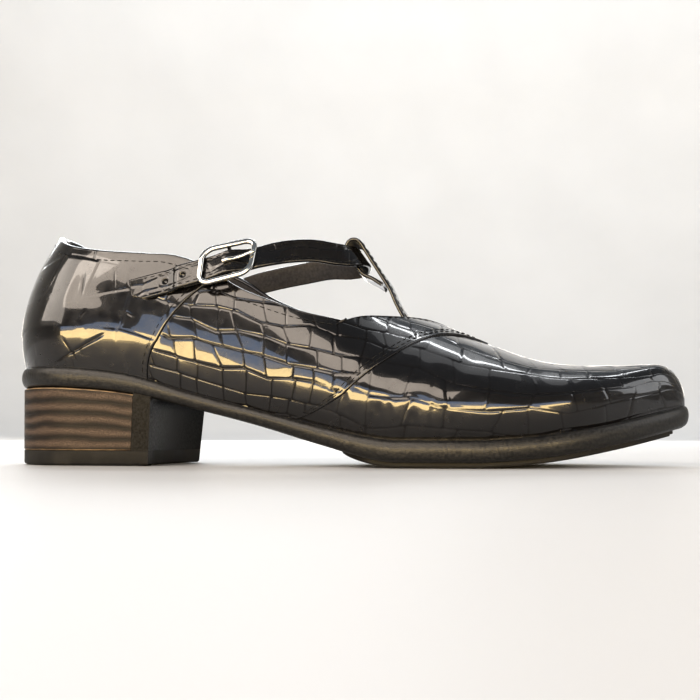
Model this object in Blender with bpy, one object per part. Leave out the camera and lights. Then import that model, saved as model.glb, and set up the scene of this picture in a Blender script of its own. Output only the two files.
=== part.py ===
"""Right shoe with T-bar, ankle strap and buckle on a low block heel.

Sizes are in millimetres and are scaled to metres where points become meshes.
+X runs to the toe, -Y to the outer side with the buckle, +Z up, floor at z = 0.
Stations (x) count from the back of the sole's rim.
"""
import math
from collections import namedtuple

import bmesh
import bpy
import numpy as np
from mathutils import Vector

METRES = 0.001
WELD = 1e-6
MIDLINE_WELD = 2e-5
SHARP_ANGLE = math.radians(35)

# Driving sizes
TOE_TIP = 258.0
HEEL_BACK = 2.0
HEEL_REACH = 28.0
TOE_REACH = 45.0
TOE_BOX_REACH = 12.0
TOE_BOX_POWER = 2.2
GAP = 0.3
TREAD_THICKNESS = 1.5
RIM_OVERHANG = 2.5
TOE_OVERHANG = 1.2
UPPER_BACK = HEEL_BACK + RIM_OVERHANG
UPPER_TOE = TOE_TIP - TOE_OVERHANG
ARCH_SWELL = 2.0
WALL = 1.5
SEAM_STEP = 0.7
SEAM_EDGE = 0.15
HEEL_LEAN = 18.0
HEEL_BULGE = 4.5
HEEL_NIP = 0.72
HEEL_LEAN_HEIGHT = 60.0
HEEL_LEAN_REACH = 70.0
THROAT = 171.0
INSOLE_INSET = 5.2
INSOLE_TOE = 11.0
INSOLE_TOE_REACH = 27.0
INSOLE_THICKNESS = 2.0

# The last and the sole, a row for each section: half widths of the rim, height of the tread
# over the floor, rim height, rise of the inner edge at the arch, ridge of the last, swell beyond
# the feather edge, height of the widest point over that edge, crown (1 is an ellipse, more is a
# steeper roof), ridge shift inward
Section = namedtuple("Section", "x lateral medial lift rim arch ridge swell widest crown shift")
LAST = [
    Section(0, 30.0, 30.0, 27.2, 8.0, 0.0, 112, 2.0, 13.5, 1.00, 0.0),
    Section(30, 30.0, 29.8, 26.9, 8.0, 0.0, 112, 2.0, 14.5, 1.00, 0.0),
    Section(55, 30.4, 28.0, 24.6, 7.4, 0.5, 111, 2.0, 15.0, 1.00, 0.5),
    Section(80, 30.9, 22.8, 19.0, 5.8, 1.8, 108, 2.2, 15.0, 1.05, 1.0),
    Section(105, 33.0, 20.0, 12.8, 5.7, 2.2, 99, 2.6, 14.5, 1.15, 2.0),
    Section(130, 37.0, 23.0, 5.6, 6.6, 1.6, 80, 3.0, 13.0, 1.30, 2.5),
    Section(150, 39.2, 33.4, 0.5, 7.6, 0.5, 61, 3.0, 12.0, 1.35, 2.0),
    Section(168, 39.6, 39.8, -0.5, 7.6, 0.0, 53.1, 3.0, 11.0, 1.30, 1.5),
    Section(188, 37.8, 40.3, 0.2, 7.6, 0.0, 44.6, 2.8, 10.0, 1.15, 1.0),
    Section(208, 32.9, 35.4, 2.0, 7.6, 0.0, 38.0, 2.4, 9.0, 1.00, 0.5),
    Section(230, 25.2, 28.8, 6.0, 7.6, 0.0, 36.5, 1.8, 8.0, 0.92, 0.0),
    Section(258, 15.0, 19.5, 12.6, 7.6, 0.0, 37.8, 1.0, 7.0, 0.80, 0.0),
]

# Height of the collar's edge on each side
Topline = namedtuple("Topline", "x lateral medial")
TOPLINE = [
    Topline(5, 90.4, 90.4),
    Topline(8, 89.6, 89.7),
    Topline(12, 88.0, 88.4),
    Topline(18, 85.4, 86.4),
    Topline(26, 82.8, 84.4),
    Topline(40, 80.2, 82.6),
    Topline(60, 78.2, 81.0),
    Topline(72, 77.0, 80.0),
    Topline(80, 74.2, 77.8),
    Topline(88, 69.8, 73.6),
    Topline(96, 64.8, 68.4),
    Topline(108, 59.6, 62.6),
    Topline(120, 55.0, 57.6),
    Topline(136, 51.0, 53.0),
]
THROAT_RUN = 136.0

# Seams run from the feather edge up and forward: how far, and how late they turn
Rib = namedtuple("Rib", "x skew turn")
COUNTER_SEAM = 62.8
THROAT_BEND = 102.0
THROAT_RIB = 114.0
VAMP_SEAM = 119.0
RIBS = [
    Rib(UPPER_BACK, 0.0, 1.6),
    Rib(30, 6.0, 2.0),
    Rib(COUNTER_SEAM, 26.4, 2.2),
    Rib(75, 28.5, 1.8),
    Rib(85, 30.0, 1.4),
    Rib(95, 32.5, 1.1),
    Rib(THROAT_BEND, 35.0, 0.95),
    Rib(108, 44.0, 0.85),
    Rib(THROAT_RIB, 57.0, 0.8),
    Rib(VAMP_SEAM, 67.0, 0.8),
    Rib(125, 66.0, 0.82),
    Rib(135, 60.5, 0.85),
    Rib(150, 54.0, 0.9),
    Rib(170, 45.5, 0.95),
    Rib(190, 35.0, 1.0),
    Rib(210, 23.5, 1.0),
    Rib(230, 12.5, 1.0),
    Rib(245, 5.0, 1.0),
    Rib(UPPER_TOE, 0.0, 1.0),
]

# Side of the rim, from its top edge to its lower edge: inset, and share of the rim's height
RimPoint = namedtuple("RimPoint", "inset drop")
RIM_PROFILE = [
    RimPoint(1.3, 0.0),
    RimPoint(0.5, 0.12),
    RimPoint(0.0, 0.38),
    RimPoint(0.2, 0.66),
    RimPoint(1.0, 0.88),
    RimPoint(2.6, 1.0),
]

# Heel
HEEL_INSET_TOP = 1.0
HEEL_INSET_FOOT = 3.7
HEEL_REAR_FOOT = 1.2
HEEL_TAPER_HEIGHT = 29.0
BREAST_FOOT = 64.6
BREAST_TOP = 66.4
BREAST_HOLLOW = 4.5
BREAST_SKEW = 0.06
FRAME_STRIP = 8.5
STACK_THICKNESS = 2.0
TOP_PIECE_HEIGHT = 5.5
TOP_PIECE_EDGE = 0.6
HEEL_CORE_TOP = 29.6

# Forefoot tread
TREAD_REAR = 131.5
TREAD_ROUND = 14.0
TREAD_INSET = 5.0
TREAD_FRONT = TOE_TIP - TREAD_INSET - 1.5
TREAD_REAR_BLUNT = 0.8
TREAD_GROOVES = (156.3, 183.9, 209.9)
GROOVE_WIDTH = 2.2
GROOVE_DEPTH = 1.0
GROOVE_WALL = 0.1
SLANT = 0.05
SLANT_GROWTH = 0.00122

# T-bar, strap and buckle
BAR_WIDTH = 17.0
BAR_THICKNESS = 1.4
BAR_TUCK = 187.0
BAR_EMERGES = 158.0
BAR_FREE = 140.0
BAR_CLEAR = 0.8
BAR_SAG = 0.35
LOOP_CENTRE = (138.5, 0.0, 79.5)
LOOP_SLOPE = math.radians(56)
LOOP_UP = (-math.cos(LOOP_SLOPE), 0.0, math.sin(LOOP_SLOPE))
LOOP_OUT = (math.sin(LOOP_SLOPE), 0.0, math.cos(LOOP_SLOPE))
LOOP_HALF_GAP = 3.0
LOOP_TURN = 3.9
STRAP_WIDTH = 9.0
STRAP_THICKNESS = 1.5
STRAP_SLOPE = 0.24
STRAP_UPRIGHT = 0.88
STRAP_TIP = 5.4
STRAP_TIP_SLANT = 0.5
STRAP_FRONT_SINK = 1.3
STRAP_FRONT_REACH = 9.0
STRAP_HUMP_REACH = 4.2
ANCHOR_START = 24.0
ANCHOR_END = 3.0
ANCHOR_RISE = 3.0
BUCKLE_X = 93.0
BUCKLE_Z = 72.2
BUCKLE_LENGTH = 20.0
BUCKLE_HEIGHT = 16.0
BUCKLE_CORNER = 4.0
WIRE = 1.0
BAR_WIRE = 0.8
FRAME_REST = 0.2
PRONG_RADIUS = 0.7
PRONG_REACH = 5.0
TAB_WIDTH = 8.0
TAB_LENGTH = 17.0
TAB_LAYER = 0.7
TAB_STEP = 5.0
TAIL_LENGTH = 36.0

# T-bar from the throat up: station and height
BarKey = namedtuple("BarKey", "x z")
BAR_RISE = [BarKey(155.2, 57.6), BarKey(152.6, 62.2)]

# Strips of the T-bar's loop, from the loop's centre: along its slope, and out from it
LoopKey = namedtuple("LoopKey", "along out")
FOLD_MEETS = LOOP_HALF_GAP - BAR_THICKNESS - GAP - 0.15
LOOP_FRONT = [LoopKey(along, LOOP_HALF_GAP) for along in (-16.5, -11.0, -5.0, 0.0)]
LOOP_BACK = [
    LoopKey(-2.0, -LOOP_HALF_GAP),
    LoopKey(-6.6, -LOOP_HALF_GAP),
    LoopKey(-10.4, FOLD_MEETS - 1.6),
    LoopKey(-13.6, FOLD_MEETS),
]

# Free run of the strap, from the loop's centre: place, and the way up across the strap there
StrapKey = namedtuple("StrapKey", "x y z up_x up_y up_z")
FREE_STRAP = [
    StrapKey(-27.0, 23.0, -0.8, 0.05, -0.25, 0.95),
    StrapKey(-16.0, 18.8, 0.0, -0.10, -0.15, 0.95),
    StrapKey(-7.0, 14.6, -0.9, -0.35, -0.05, 0.90),
    StrapKey(-1.9, 10.8, -0.9, *LOOP_UP),
    StrapKey(-0.3, 6.5, -0.2, *LOOP_UP),
    StrapKey(-0.3, -6.5, -0.2, *LOOP_UP),
    StrapKey(-1.9, -10.8, -0.9, *LOOP_UP),
    StrapKey(-7.0, -14.6, -0.9, -0.35, 0.05, 0.90),
    StrapKey(-16.0, -18.8, 0.0, -0.10, 0.15, 0.95),
    StrapKey(-24.5, -22.6, -0.9, 0.05, 0.25, 0.95),
]

# Cranked ends of the buckle's bar: reach past the frame's wire, and share of the way down
CrankKey = namedtuple("CrankKey", "reach drop")
CRANK = [
    CrankKey(0.3, 0.0),
    CrankKey(-0.2, 0.1),
    CrankKey(-0.7, 0.5),
    CrankKey(-1.2, 0.95),
    CrankKey(-1.8, 1.0),
]

SIGN = {"lateral": -1.0, "medial": 1.0}


# Curves through the tables

def smooth(table, column, x):
    """One column at stations x, on a smooth curve through the rows."""
    xs = np.array([row.x for row in table], float)
    ys = np.array([getattr(row, column) for row in table], float)
    slopes = np.gradient(ys, xs)
    x = np.asarray(x, float)
    i = np.clip(np.searchsorted(xs, x) - 1, 0, len(xs) - 2)
    step = xs[i + 1] - xs[i]
    t = np.clip((x - xs[i]) / step, 0.0, 1.0)
    start = (1 + 2 * t) * (1 - t) ** 2 * ys[i] + t * (1 - t) ** 2 * step * slopes[i]
    end = t * t * (3 - 2 * t) * ys[i + 1] + t * t * (t - 1) * step * slopes[i + 1]
    return start + end


def ease(t):
    """0 to 1 with soft ends."""
    t = np.clip(t, 0.0, 1.0)
    return t * t * (3 - 2 * t)


def unit(vectors):
    return vectors / np.linalg.norm(vectors, axis=-1, keepdims=True)


def end_round(distance, reach, power=2.0):
    """Rises from 0 at an end of the outline to 1 at this reach, along an oval."""
    t = np.clip(np.asarray(distance, float) / reach, 0.0, 1.0)
    return (1 - (1 - t) ** power) ** (1 / power)


def half_width(side, x, inset=0.0, toe_inset=None):
    """Half width of the sole's outline, drawn in by an inset, which may differ at the toe."""
    base = smooth(LAST, side, x) - inset
    heel = end_round(x - HEEL_BACK - inset, HEEL_REACH)
    toe = end_round(TOE_TIP - (inset if toe_inset is None else toe_inset) - x, TOE_REACH)
    return base * heel * toe


def lift(x):
    return np.maximum(smooth(LAST, "lift", x), 0.0)


def arch(x):
    return np.maximum(smooth(LAST, "arch", x), 0.0)


def rim_bottom(x):
    return lift(x) + TREAD_THICKNESS + GAP


def feather(x):
    """Height of the rim's top, where the upper meets the sole."""
    return rim_bottom(x) + smooth(LAST, "rim", x)


def stations(count, inset=0.0):
    """Stations from heel to toe, closer together towards the round ends."""
    angle = np.linspace(0.0, math.pi, count)
    start = HEEL_BACK + inset
    return start + (TOE_TIP - inset - start) * (1 - np.cos(angle)) / 2


# Surface of the last

def last_sizes(side, x):
    """Widest half width, its height, ridge height, feather height and roll-in angle of a section."""
    edge = half_width(side, x, RIM_OVERHANG, TOE_OVERHANG)
    swell = smooth(LAST, "swell", x)
    if side == "medial":
        swell = swell + ARCH_SWELL * arch(x)
    swell = 1 + swell / smooth(LAST, side, x)
    toe = end_round(UPPER_TOE - x, TOE_BOX_REACH, TOE_BOX_POWER)
    low = feather(x) + GAP
    wide = low + smooth(LAST, "widest", x) * toe
    ridge = low + (smooth(LAST, "ridge", x) - low) * toe
    return edge * swell, wide, ridge, low, np.arccos(1 / swell)


def heel_fade(x):
    """1 at the heel's back, falling to 0 further forward."""
    return np.clip(1 - x / HEEL_LEAN_REACH, 0.0, 1.0) ** 2


def lean(x, height):
    """How far the heel's back stands forward at a height over the feather edge."""
    t = height / HEEL_LEAN_HEIGHT
    return heel_fade(x) * (HEEL_LEAN * np.maximum(t, 0) ** 2 - 4 * HEEL_BULGE * t * (1 - t))


def last_point(side, x, q):
    """Point of the last's surface: q is 0 at the feather edge and 1 on the ridge."""
    width, wide, ridge, low, roll = last_sizes(side, x)
    turn = -roll + q * (math.pi / 2 + roll)
    up = np.maximum(turn, 0.0)
    crown = smooth(LAST, "crown", x)
    under = width * np.cos(np.minimum(turn, 0.0))
    nip = 1 - HEEL_NIP * heel_fade(x) * np.sin(up)
    y = under * nip * np.maximum(np.cos(up), 0.0) ** crown
    below = wide + (wide - low) * np.sin(np.minimum(turn, 0.0)) / np.sin(roll)
    z = below + (ridge - wide) * np.sin(up)
    y = SIGN[side] * y + smooth(LAST, "shift", x) * np.sin(up) ** 2
    return np.stack([x + lean(x, z - low), y, z], axis=-1)


def share_at(side, x, z):
    """Share q at which a section of the last reaches a height."""
    _, wide, ridge, low, roll = last_sizes(side, x)
    up = np.arcsin(np.clip((z - wide) / (ridge - wide), 0.0, 1.0))
    under = -np.arcsin(np.clip((wide - z) / (wide - low), 0.0, 1.0) * np.sin(roll))
    turn = np.where(z >= wide, up, under)
    return (turn + roll) / (math.pi / 2 + roll)


def on_last(side, x, z, out=0.0):
    """Point of the last at a station and height, moved out along the surface's normal."""
    step = 0.2
    here = last_point(side, x, share_at(side, x, z))
    along = last_point(side, x + step, share_at(side, x + step, z)) - here
    upward = last_point(side, x, share_at(side, x, z + step)) - here
    return here + unit(np.cross(along, upward)) * -SIGN[side] * out


# Meshes

def clear_scene():
    for obj in list(bpy.data.objects):
        bpy.data.objects.remove(obj, do_unlink=True)


def material(name, colour, roughness, metallic=0.0):
    made = bpy.data.materials.new(name)
    made.use_nodes = True
    shader = made.node_tree.nodes["Principled BSDF"]
    shader.inputs["Base Color"].default_value = (*colour, 1.0)
    shader.inputs["Roughness"].default_value = roughness
    shader.inputs["Metallic"].default_value = metallic
    return made


def finish(name, bm, look):
    """Object from a bmesh, welded and facing out, with its own material."""
    bmesh.ops.remove_doubles(bm, verts=bm.verts, dist=WELD)
    bmesh.ops.recalc_face_normals(bm, faces=bm.faces)
    mesh = bpy.data.meshes.new(name)
    bm.to_mesh(mesh)
    bm.free()
    mesh.shade_smooth()
    mesh.set_sharp_from_angle(angle=SHARP_ANGLE)
    obj = bpy.data.objects.new(name, mesh)
    bpy.context.scene.collection.objects.link(obj)
    mesh.materials.append(material(name, *look))
    return obj


def combine(body, tool, operation):
    """Joins or cuts a body with a second one, which is left as a hidden guide."""
    tool.hide_render = True
    tool.display_type = "WIRE"
    step = body.modifiers.new(tool.name, "BOOLEAN")
    step.operation = operation
    step.solver = "EXACT"
    step.object = tool
    return [body, tool]


def loft(name, rings, look, capped=True, closed_path=False):
    """Solid from rings of points in order, each ring closed on itself."""
    bm = bmesh.new()
    rows = [[bm.verts.new(Vector(point) * METRES) for point in ring] for ring in rings]
    for i in range(len(rows) if closed_path else len(rows) - 1):
        here = rows[i]
        there = rows[(i + 1) % len(rows)]
        for j in range(len(here)):
            k = (j + 1) % len(here)
            bm.faces.new((here[j], here[k], there[k], there[j]))
    if capped:
        bm.faces.new(rows[0][::-1])
        bm.faces.new(rows[-1])
    return finish(name, bm, look)


BLACK_PATENT = ((0.012, 0.012, 0.014), 0.18)
BLACK_RUBBER = ((0.02, 0.02, 0.021), 0.5)
TREAD_RUBBER = ((0.025, 0.025, 0.026), 0.65)
STACK_BROWN = ((0.25, 0.11, 0.045), 0.35)
LINING = ((0.05, 0.045, 0.042), 0.7)
SILVER = ((0.8, 0.8, 0.78), 0.18, 1.0)


# Sole

def slab():
    """Outsole without its heel: one closed section for each station."""
    count = 44
    columns = []
    for point in RIM_PROFILE:
        x = stations(count, point.inset)
        z = feather(x) - point.drop * smooth(LAST, "rim", x)
        columns.append(np.stack([x, -half_width("lateral", x, point.inset), z], axis=1))
    middle_bottom = columns[-1].copy()
    middle_bottom[:, 1] = 0.0
    columns.append(middle_bottom)
    for point in reversed(RIM_PROFILE):
        x = stations(count, point.inset)
        z = feather(x) - point.drop * (smooth(LAST, "rim", x) - arch(x))
        columns.append(np.stack([x, half_width("medial", x, point.inset), z], axis=1))
    middle_top = columns[0].copy()
    middle_top[:, 1] = 0.0
    columns.append(middle_top)
    rings = np.stack(columns, axis=1)
    return loft("outsole", rings, BLACK_RUBBER, capped=False)


def heel_inset(z):
    return HEEL_INSET_FOOT + (HEEL_INSET_TOP - HEEL_INSET_FOOT) * z / HEEL_TAPER_HEIGHT


def heel_rear(z):
    """Station of the heel's back at a height."""
    return HEEL_BACK + HEEL_REAR_FOOT + (HEEL_INSET_TOP - HEEL_REAR_FOOT) * z / HEEL_TAPER_HEIGHT


def heel_half_width(side, x, z, depth):
    """Half width of the heel at a height, whose back stands nearly upright."""
    base = smooth(LAST, side, x) - heel_inset(z) - depth
    return base * end_round(x - heel_rear(z) - depth, HEEL_REACH)


def breast(z):
    return BREAST_FOOT + (BREAST_TOP - BREAST_FOOT) * z / HEEL_TAPER_HEIGHT


def heel_back(z, front, depth, count=15):
    """Plan of the heel at a height, from its outer side round the back to its inner side."""
    start = heel_rear(z) + depth
    x = start + (front - start) * (1 - np.cos(np.linspace(math.pi / 2, 0.0, count)))
    outer = np.stack([x, -heel_half_width("lateral", x, z, depth)], axis=1)
    inner = np.stack([x, heel_half_width("medial", x, z, depth)], axis=1)[::-1]
    return np.concatenate([outer, inner[1:]])


def breast_line(z, count=7):
    """Hollow front of the heel at a height, from its inner corner to its outer corner."""
    x = breast(z)
    inner = heel_half_width("medial", x, z, 0.0)
    y = np.linspace(inner, -heel_half_width("lateral", x, z, 0.0), count)
    bow = 1 - (2 * np.linspace(0.0, 1.0, count) - 1) ** 2
    return np.stack([x + BREAST_SKEW * y - BREAST_HOLLOW * bow, y], axis=1)


def at_height(plan, z):
    return np.column_stack([plan, np.full(len(plan), z)])


def heel_core():
    """Black heel under the slab, stepped in at back and sides where the stack lies."""
    rings = []
    for z in np.linspace(TOP_PIECE_HEIGHT + GAP, HEEL_CORE_TOP, 5):
        front = breast(z) - FRAME_STRIP
        line = breast_line(z)
        recess = heel_back(z, front, STACK_THICKNESS + GAP)
        flush = heel_back(z, front, 0.0)
        plan = np.concatenate([line[-1:], flush[:1], recess, flush[-1:], line[:-1]])
        rings.append(at_height(plan, z))
    return loft("heel_core", rings, BLACK_RUBBER)


def outsole():
    return combine(slab(), heel_core(), "UNION")


def heel_stack():
    """Layered band that fills the heel's recess, its top edge following the rim."""
    rings = []
    low = TOP_PIECE_HEIGHT + GAP
    front_top = rim_bottom(BREAST_TOP - FRAME_STRIP) - GAP
    for share in np.linspace(0.0, 1.0, 6):
        front = breast(low + (front_top - low) * share) - FRAME_STRIP - GAP
        plans = []
        for depth in (0.0, STACK_THICKNESS):
            foot = heel_back(low, front, depth)
            z = low + (rim_bottom(foot[:, 0]) - GAP - low) * share
            plan = [heel_back(height, front, depth)[i] for i, height in enumerate(z)]
            plans.append(np.column_stack([plan, z]))
        rings.append(np.concatenate([plans[0], plans[1][::-1]]))
    return loft("heel_stack", rings, STACK_BROWN)


def heel_top_piece():
    rings = []
    for z, edge in ((0.0, TOP_PIECE_EDGE), (TOP_PIECE_EDGE, 0.0), (TOP_PIECE_HEIGHT, 0.0)):
        line = breast_line(z)
        plan = np.concatenate([line[-1:], heel_back(z, breast(z), 0.0)[1:-1], line[:-1]])
        inward = unit(plan.mean(axis=0) - plan)
        rings.append(at_height(plan + inward * edge, z))
    return loft("heel_top_piece", rings, TREAD_RUBBER)


def tread_row(x, depth):
    """Closed section across the tread, along its slanted grooves."""
    slant = -SLANT - SLANT_GROWTH * (x - TREAD_GROOVES[0])
    rear = end_round(x - TREAD_REAR + TREAD_REAR_BLUNT, TREAD_ROUND)
    top = TREAD_THICKNESS
    ring = []
    ends = {}
    for side in SIGN:
        reach = half_width(side, x, TREAD_INSET)
        for _ in range(3):
            there = x + slant * SIGN[side] * reach
            reach = half_width(side, there, TREAD_INSET) * rear
        ends[side] = SIGN[side] * reach
    for share, height in ((0, depth), (0.5, depth), (1, depth), (1, top), (0.5, top), (0, top)):
        y = ends["lateral"] + (ends["medial"] - ends["lateral"]) * share
        there = x + slant * y
        ring.append((there, y, lift(there) + height))
    return ring


def forefoot_tread():
    """Tread pad in four fields, parted by slanted grooves."""
    cuts = [TREAD_REAR]
    for groove in TREAD_GROOVES:
        cuts += [groove - GROOVE_WIDTH / 2, groove + GROOVE_WIDTH / 2]
    cuts.append(TREAD_FRONT)
    rings = []
    for field in range(0, len(cuts), 2):
        start, end = cuts[field], cuts[field + 1]
        share = np.linspace(0.0, 1.0, 8)
        if field == 0:
            share = 1 - np.cos(share * math.pi / 2)
        if end == TREAD_FRONT:
            share = np.sin(share * math.pi / 2)
        if field > 0:
            rings.append(tread_row(start - GROOVE_WALL, GROOVE_DEPTH))
        rings += [tread_row(x, 0.0) for x in start + (end - start) * share]
        if end < TREAD_FRONT:
            rings.append(tread_row(end + GROOVE_WALL, GROOVE_DEPTH))
    return loft("forefoot_tread", rings, TREAD_RUBBER)


def insole():
    x = stations(34, INSOLE_INSET)
    x = x * (TOE_TIP - INSOLE_TOE) / x[-1]
    shrink = end_round(TOE_TIP - INSOLE_TOE - x, INSOLE_TOE_REACH)
    outer = -half_width("lateral", x, INSOLE_INSET) * shrink
    inner = half_width("medial", x, INSOLE_INSET) * shrink
    low = feather(x) + GAP
    columns = []
    for y, z in (
        (outer, low),
        (outer, low + INSOLE_THICKNESS),
        (0 * x, low + INSOLE_THICKNESS),
        (inner, low + INSOLE_THICKNESS),
        (inner, low),
        (0 * x, low),
    ):
        columns.append(np.stack([x, y, z], axis=1))
    return loft("insole", np.stack(columns, axis=1), LINING, capped=False)


# Upper

def rib_stations():
    """Feather stations of the ribs and the layers worn there, double at each seam."""
    turn = np.linspace(0.0, math.pi / 2, 12)
    heel = UPPER_BACK + (COUNTER_SEAM - SEAM_EDGE - UPPER_BACK) * (1 - np.cos(turn))
    quarter = np.concatenate([
        np.linspace(COUNTER_SEAM + SEAM_EDGE, THROAT_BEND, 7),
        np.linspace(THROAT_BEND, THROAT_RIB, 6)[1:],
        np.linspace(THROAT_RIB, VAMP_SEAM - SEAM_EDGE, 3)[1:],
    ])
    vamp_start = VAMP_SEAM + SEAM_EDGE
    vamp = vamp_start + (UPPER_TOE - vamp_start) * np.sin(np.linspace(0.0, math.pi / 2, 19))
    layers = [2] * len(heel) + [1] * len(quarter) + [0] * len(vamp)
    return np.concatenate([heel, quarter, vamp]), layers


def collar_share(side, x):
    """Share q of the collar's edge: heights from the table, then a straight run to the throat."""
    back = np.minimum(x, THROAT_RUN)
    start = share_at(side, back, smooth(TOPLINE, side, back))
    run = np.clip((x - THROAT_RUN) / (THROAT - THROAT_RUN), 0.0, 1.0)
    return start + (1 - start) * run


def rib(side, x, count):
    """Points of the last from the feather edge at x up to the collar or the ridge."""
    top = x + smooth(RIBS, "skew", x)
    w = np.linspace(0.0, 1.0, count)
    run = x + (top - x) * w ** smooth(RIBS, "turn", x)
    return last_point(side, run, collar_share(side, top) * w)


def upper():
    """Hollow shell on the last: open at the collar and underneath, stepped at the seams."""
    rows = 14
    starts, layers = rib_stations()
    bm = bmesh.new()
    worn = bm.verts.layers.float.new("layers")
    foot = bm.verts.layers.float.new("foot")
    for side in SIGN:
        grid = []
        for x, layer in zip(starts, layers):
            line = []
            for j, point in enumerate(rib(side, x, rows)):
                vert = bm.verts.new(Vector(point) * METRES)
                vert[worn] = layer
                vert[foot] = 1.0 if j == 0 else 0.0
                line.append(vert)
            grid.append(line)
        for here, there in zip(grid, grid[1:]):
            for j in range(rows - 1):
                corners = [here[j], there[j], there[j + 1], here[j + 1]]
                bm.faces.new(corners if side == "lateral" else corners[::-1])
    bmesh.ops.remove_doubles(bm, verts=bm.verts, dist=MIDLINE_WELD)
    bmesh.ops.dissolve_degenerate(bm, edges=bm.edges, dist=WELD)
    bm.normal_update()
    return thicken("upper", bm, worn, foot)


def thicken(name, bm, worn, foot):
    """Wall from a surface: outside by the layers worn, inside by the wall, joined at its edges."""
    shell = bmesh.new()
    outside = {}
    inside = {}
    for vert in bm.verts:
        normal = vert.normal.copy()
        if vert[foot] > 0.5:
            normal.z = 0.0
            normal.normalize()
        outside[vert] = shell.verts.new(vert.co + normal * (vert[worn] * SEAM_STEP * METRES))
        inside[vert] = shell.verts.new(vert.co - normal * (WALL * METRES))
    for face in bm.faces:
        shell.faces.new([outside[vert] for vert in face.verts])
        shell.faces.new([inside[vert] for vert in reversed(face.verts)])
    for edge in bm.edges:
        if edge.is_boundary:
            a, b = edge.verts
            shell.faces.new((outside[a], outside[b], inside[b], inside[a]))
    bm.free()
    return finish(name, shell, BLACK_PATENT)


# T-bar, strap and buckle

def lengths(points):
    """Length run along a line of points, at each of them."""
    steps = np.linalg.norm(np.diff(points, axis=0), axis=1)
    return np.concatenate([[0.0], np.cumsum(steps)])


def curve(rows, count):
    """Evenly spaced rows on a smooth curve through the given ones, which start with a point."""
    rows = np.array(rows, float)
    knots = lengths(rows[:, :3])
    columns = [f"column_{k}" for k in range(rows.shape[1])]
    Knot = namedtuple("Knot", ["x", *columns])
    table = [Knot(knot, *row) for knot, row in zip(knots, rows)]
    t = np.linspace(0.0, knots[-1], count)
    return np.stack([smooth(table, column, t) for column in columns], axis=1)


def t_bar():
    """Strip from under the throat to a loop folded back at its top."""
    up = np.array(LOOP_UP)
    out = np.array(LOOP_OUT)
    centre = np.array(LOOP_CENTRE)
    clear = WALL + BAR_CLEAR + BAR_THICKNESS / 2
    tucked = np.linspace(BAR_TUCK, BAR_EMERGES, 7)
    under = [(x, 0.0, float(smooth(LAST, "ridge", x)) - clear) for x in tucked]
    rise = [(key.x, 0.0, key.z) for key in BAR_RISE]
    front = [centre + out * key.out + up * key.along for key in LOOP_FRONT]
    path = list(curve(under + rise + front, 30))
    for angle in np.linspace(0.0, math.pi, 9):
        turn = out * math.cos(angle) + up * math.sin(angle)
        path.append(centre + up * LOOP_TURN + turn * LOOP_HALF_GAP)
    path += [centre + out * key.out + up * key.along for key in LOOP_BACK]
    path = np.array(path)
    along = unit(np.gradient(path, axis=0))
    normal = np.stack([along[:, 2], 0 * along[:, 0], -along[:, 0]], axis=1)
    rings = []
    for point, across in zip(path, normal):
        sag = 0.0
        if point[0] > BAR_FREE:
            x = max(point[0], BAR_EMERGES)
            edge = last_point("lateral", x, share_near(x, -BAR_WIDTH / 2))
            sag = float(smooth(LAST, "ridge", x)) - edge[2] + BAR_SAG
            sag *= np.clip((point[0] - BAR_FREE) / (BAR_EMERGES - BAR_FREE), 0.0, 1.0)
        ring = []
        for face in (-0.5, 0.5):
            for share in (-1.0, -0.5, 0.0, 0.5, 1.0)[:: 1 if face < 0 else -1]:
                spot = point + across * BAR_THICKNESS * face
                ring.append((spot[0], share * BAR_WIDTH / 2, spot[2] - sag * share**2))
        rings.append(ring)
    return loft("t_bar", rings, BLACK_PATENT)


def share_near(x, y):
    """Share q at which the outer half of the last's surface comes this near the middle."""
    shares = np.linspace(0.5, 1.0, 200)
    found = np.array([last_point("lateral", x, q)[1] for q in shares])
    return float(np.interp(y, found, shares))


def strap_spot(side, s, w, n):
    """Point near the counter: s back along the strap, w up across it, n out from the leather."""
    x = BUCKLE_X - s
    z = BUCKLE_Z - STRAP_SLOPE * s + STRAP_UPRIGHT * w
    return on_last(side, x, z, 2 * SEAM_STEP + n)


def strap_height(s):
    """How far the strap's middle stands off the leather along the buckle and its tail."""
    on_tab = 2 * TAB_LAYER + 2 * GAP + STRAP_THICKNESS / 2
    on_leather = GAP + STRAP_THICKNESS / 2
    over_bar = tab_ring() + GAP + STRAP_THICKNESS / 2 + tab_centre()
    base = on_leather + (on_tab - on_leather) * ease((TAB_LENGTH + TAB_STEP - s) / TAB_STEP)
    base = base - STRAP_FRONT_SINK * ease(-s / STRAP_FRONT_REACH)
    return base + (over_bar - on_tab) * math.exp(-((s / STRAP_HUMP_REACH) ** 2))


def tab_ring():
    """Radius of the tab where it goes round the buckle's bar."""
    return BAR_WIRE + GAP + TAB_LAYER


def tab_centre():
    """How far the buckle's bar stands off the leather."""
    return GAP + TAB_LAYER


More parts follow.
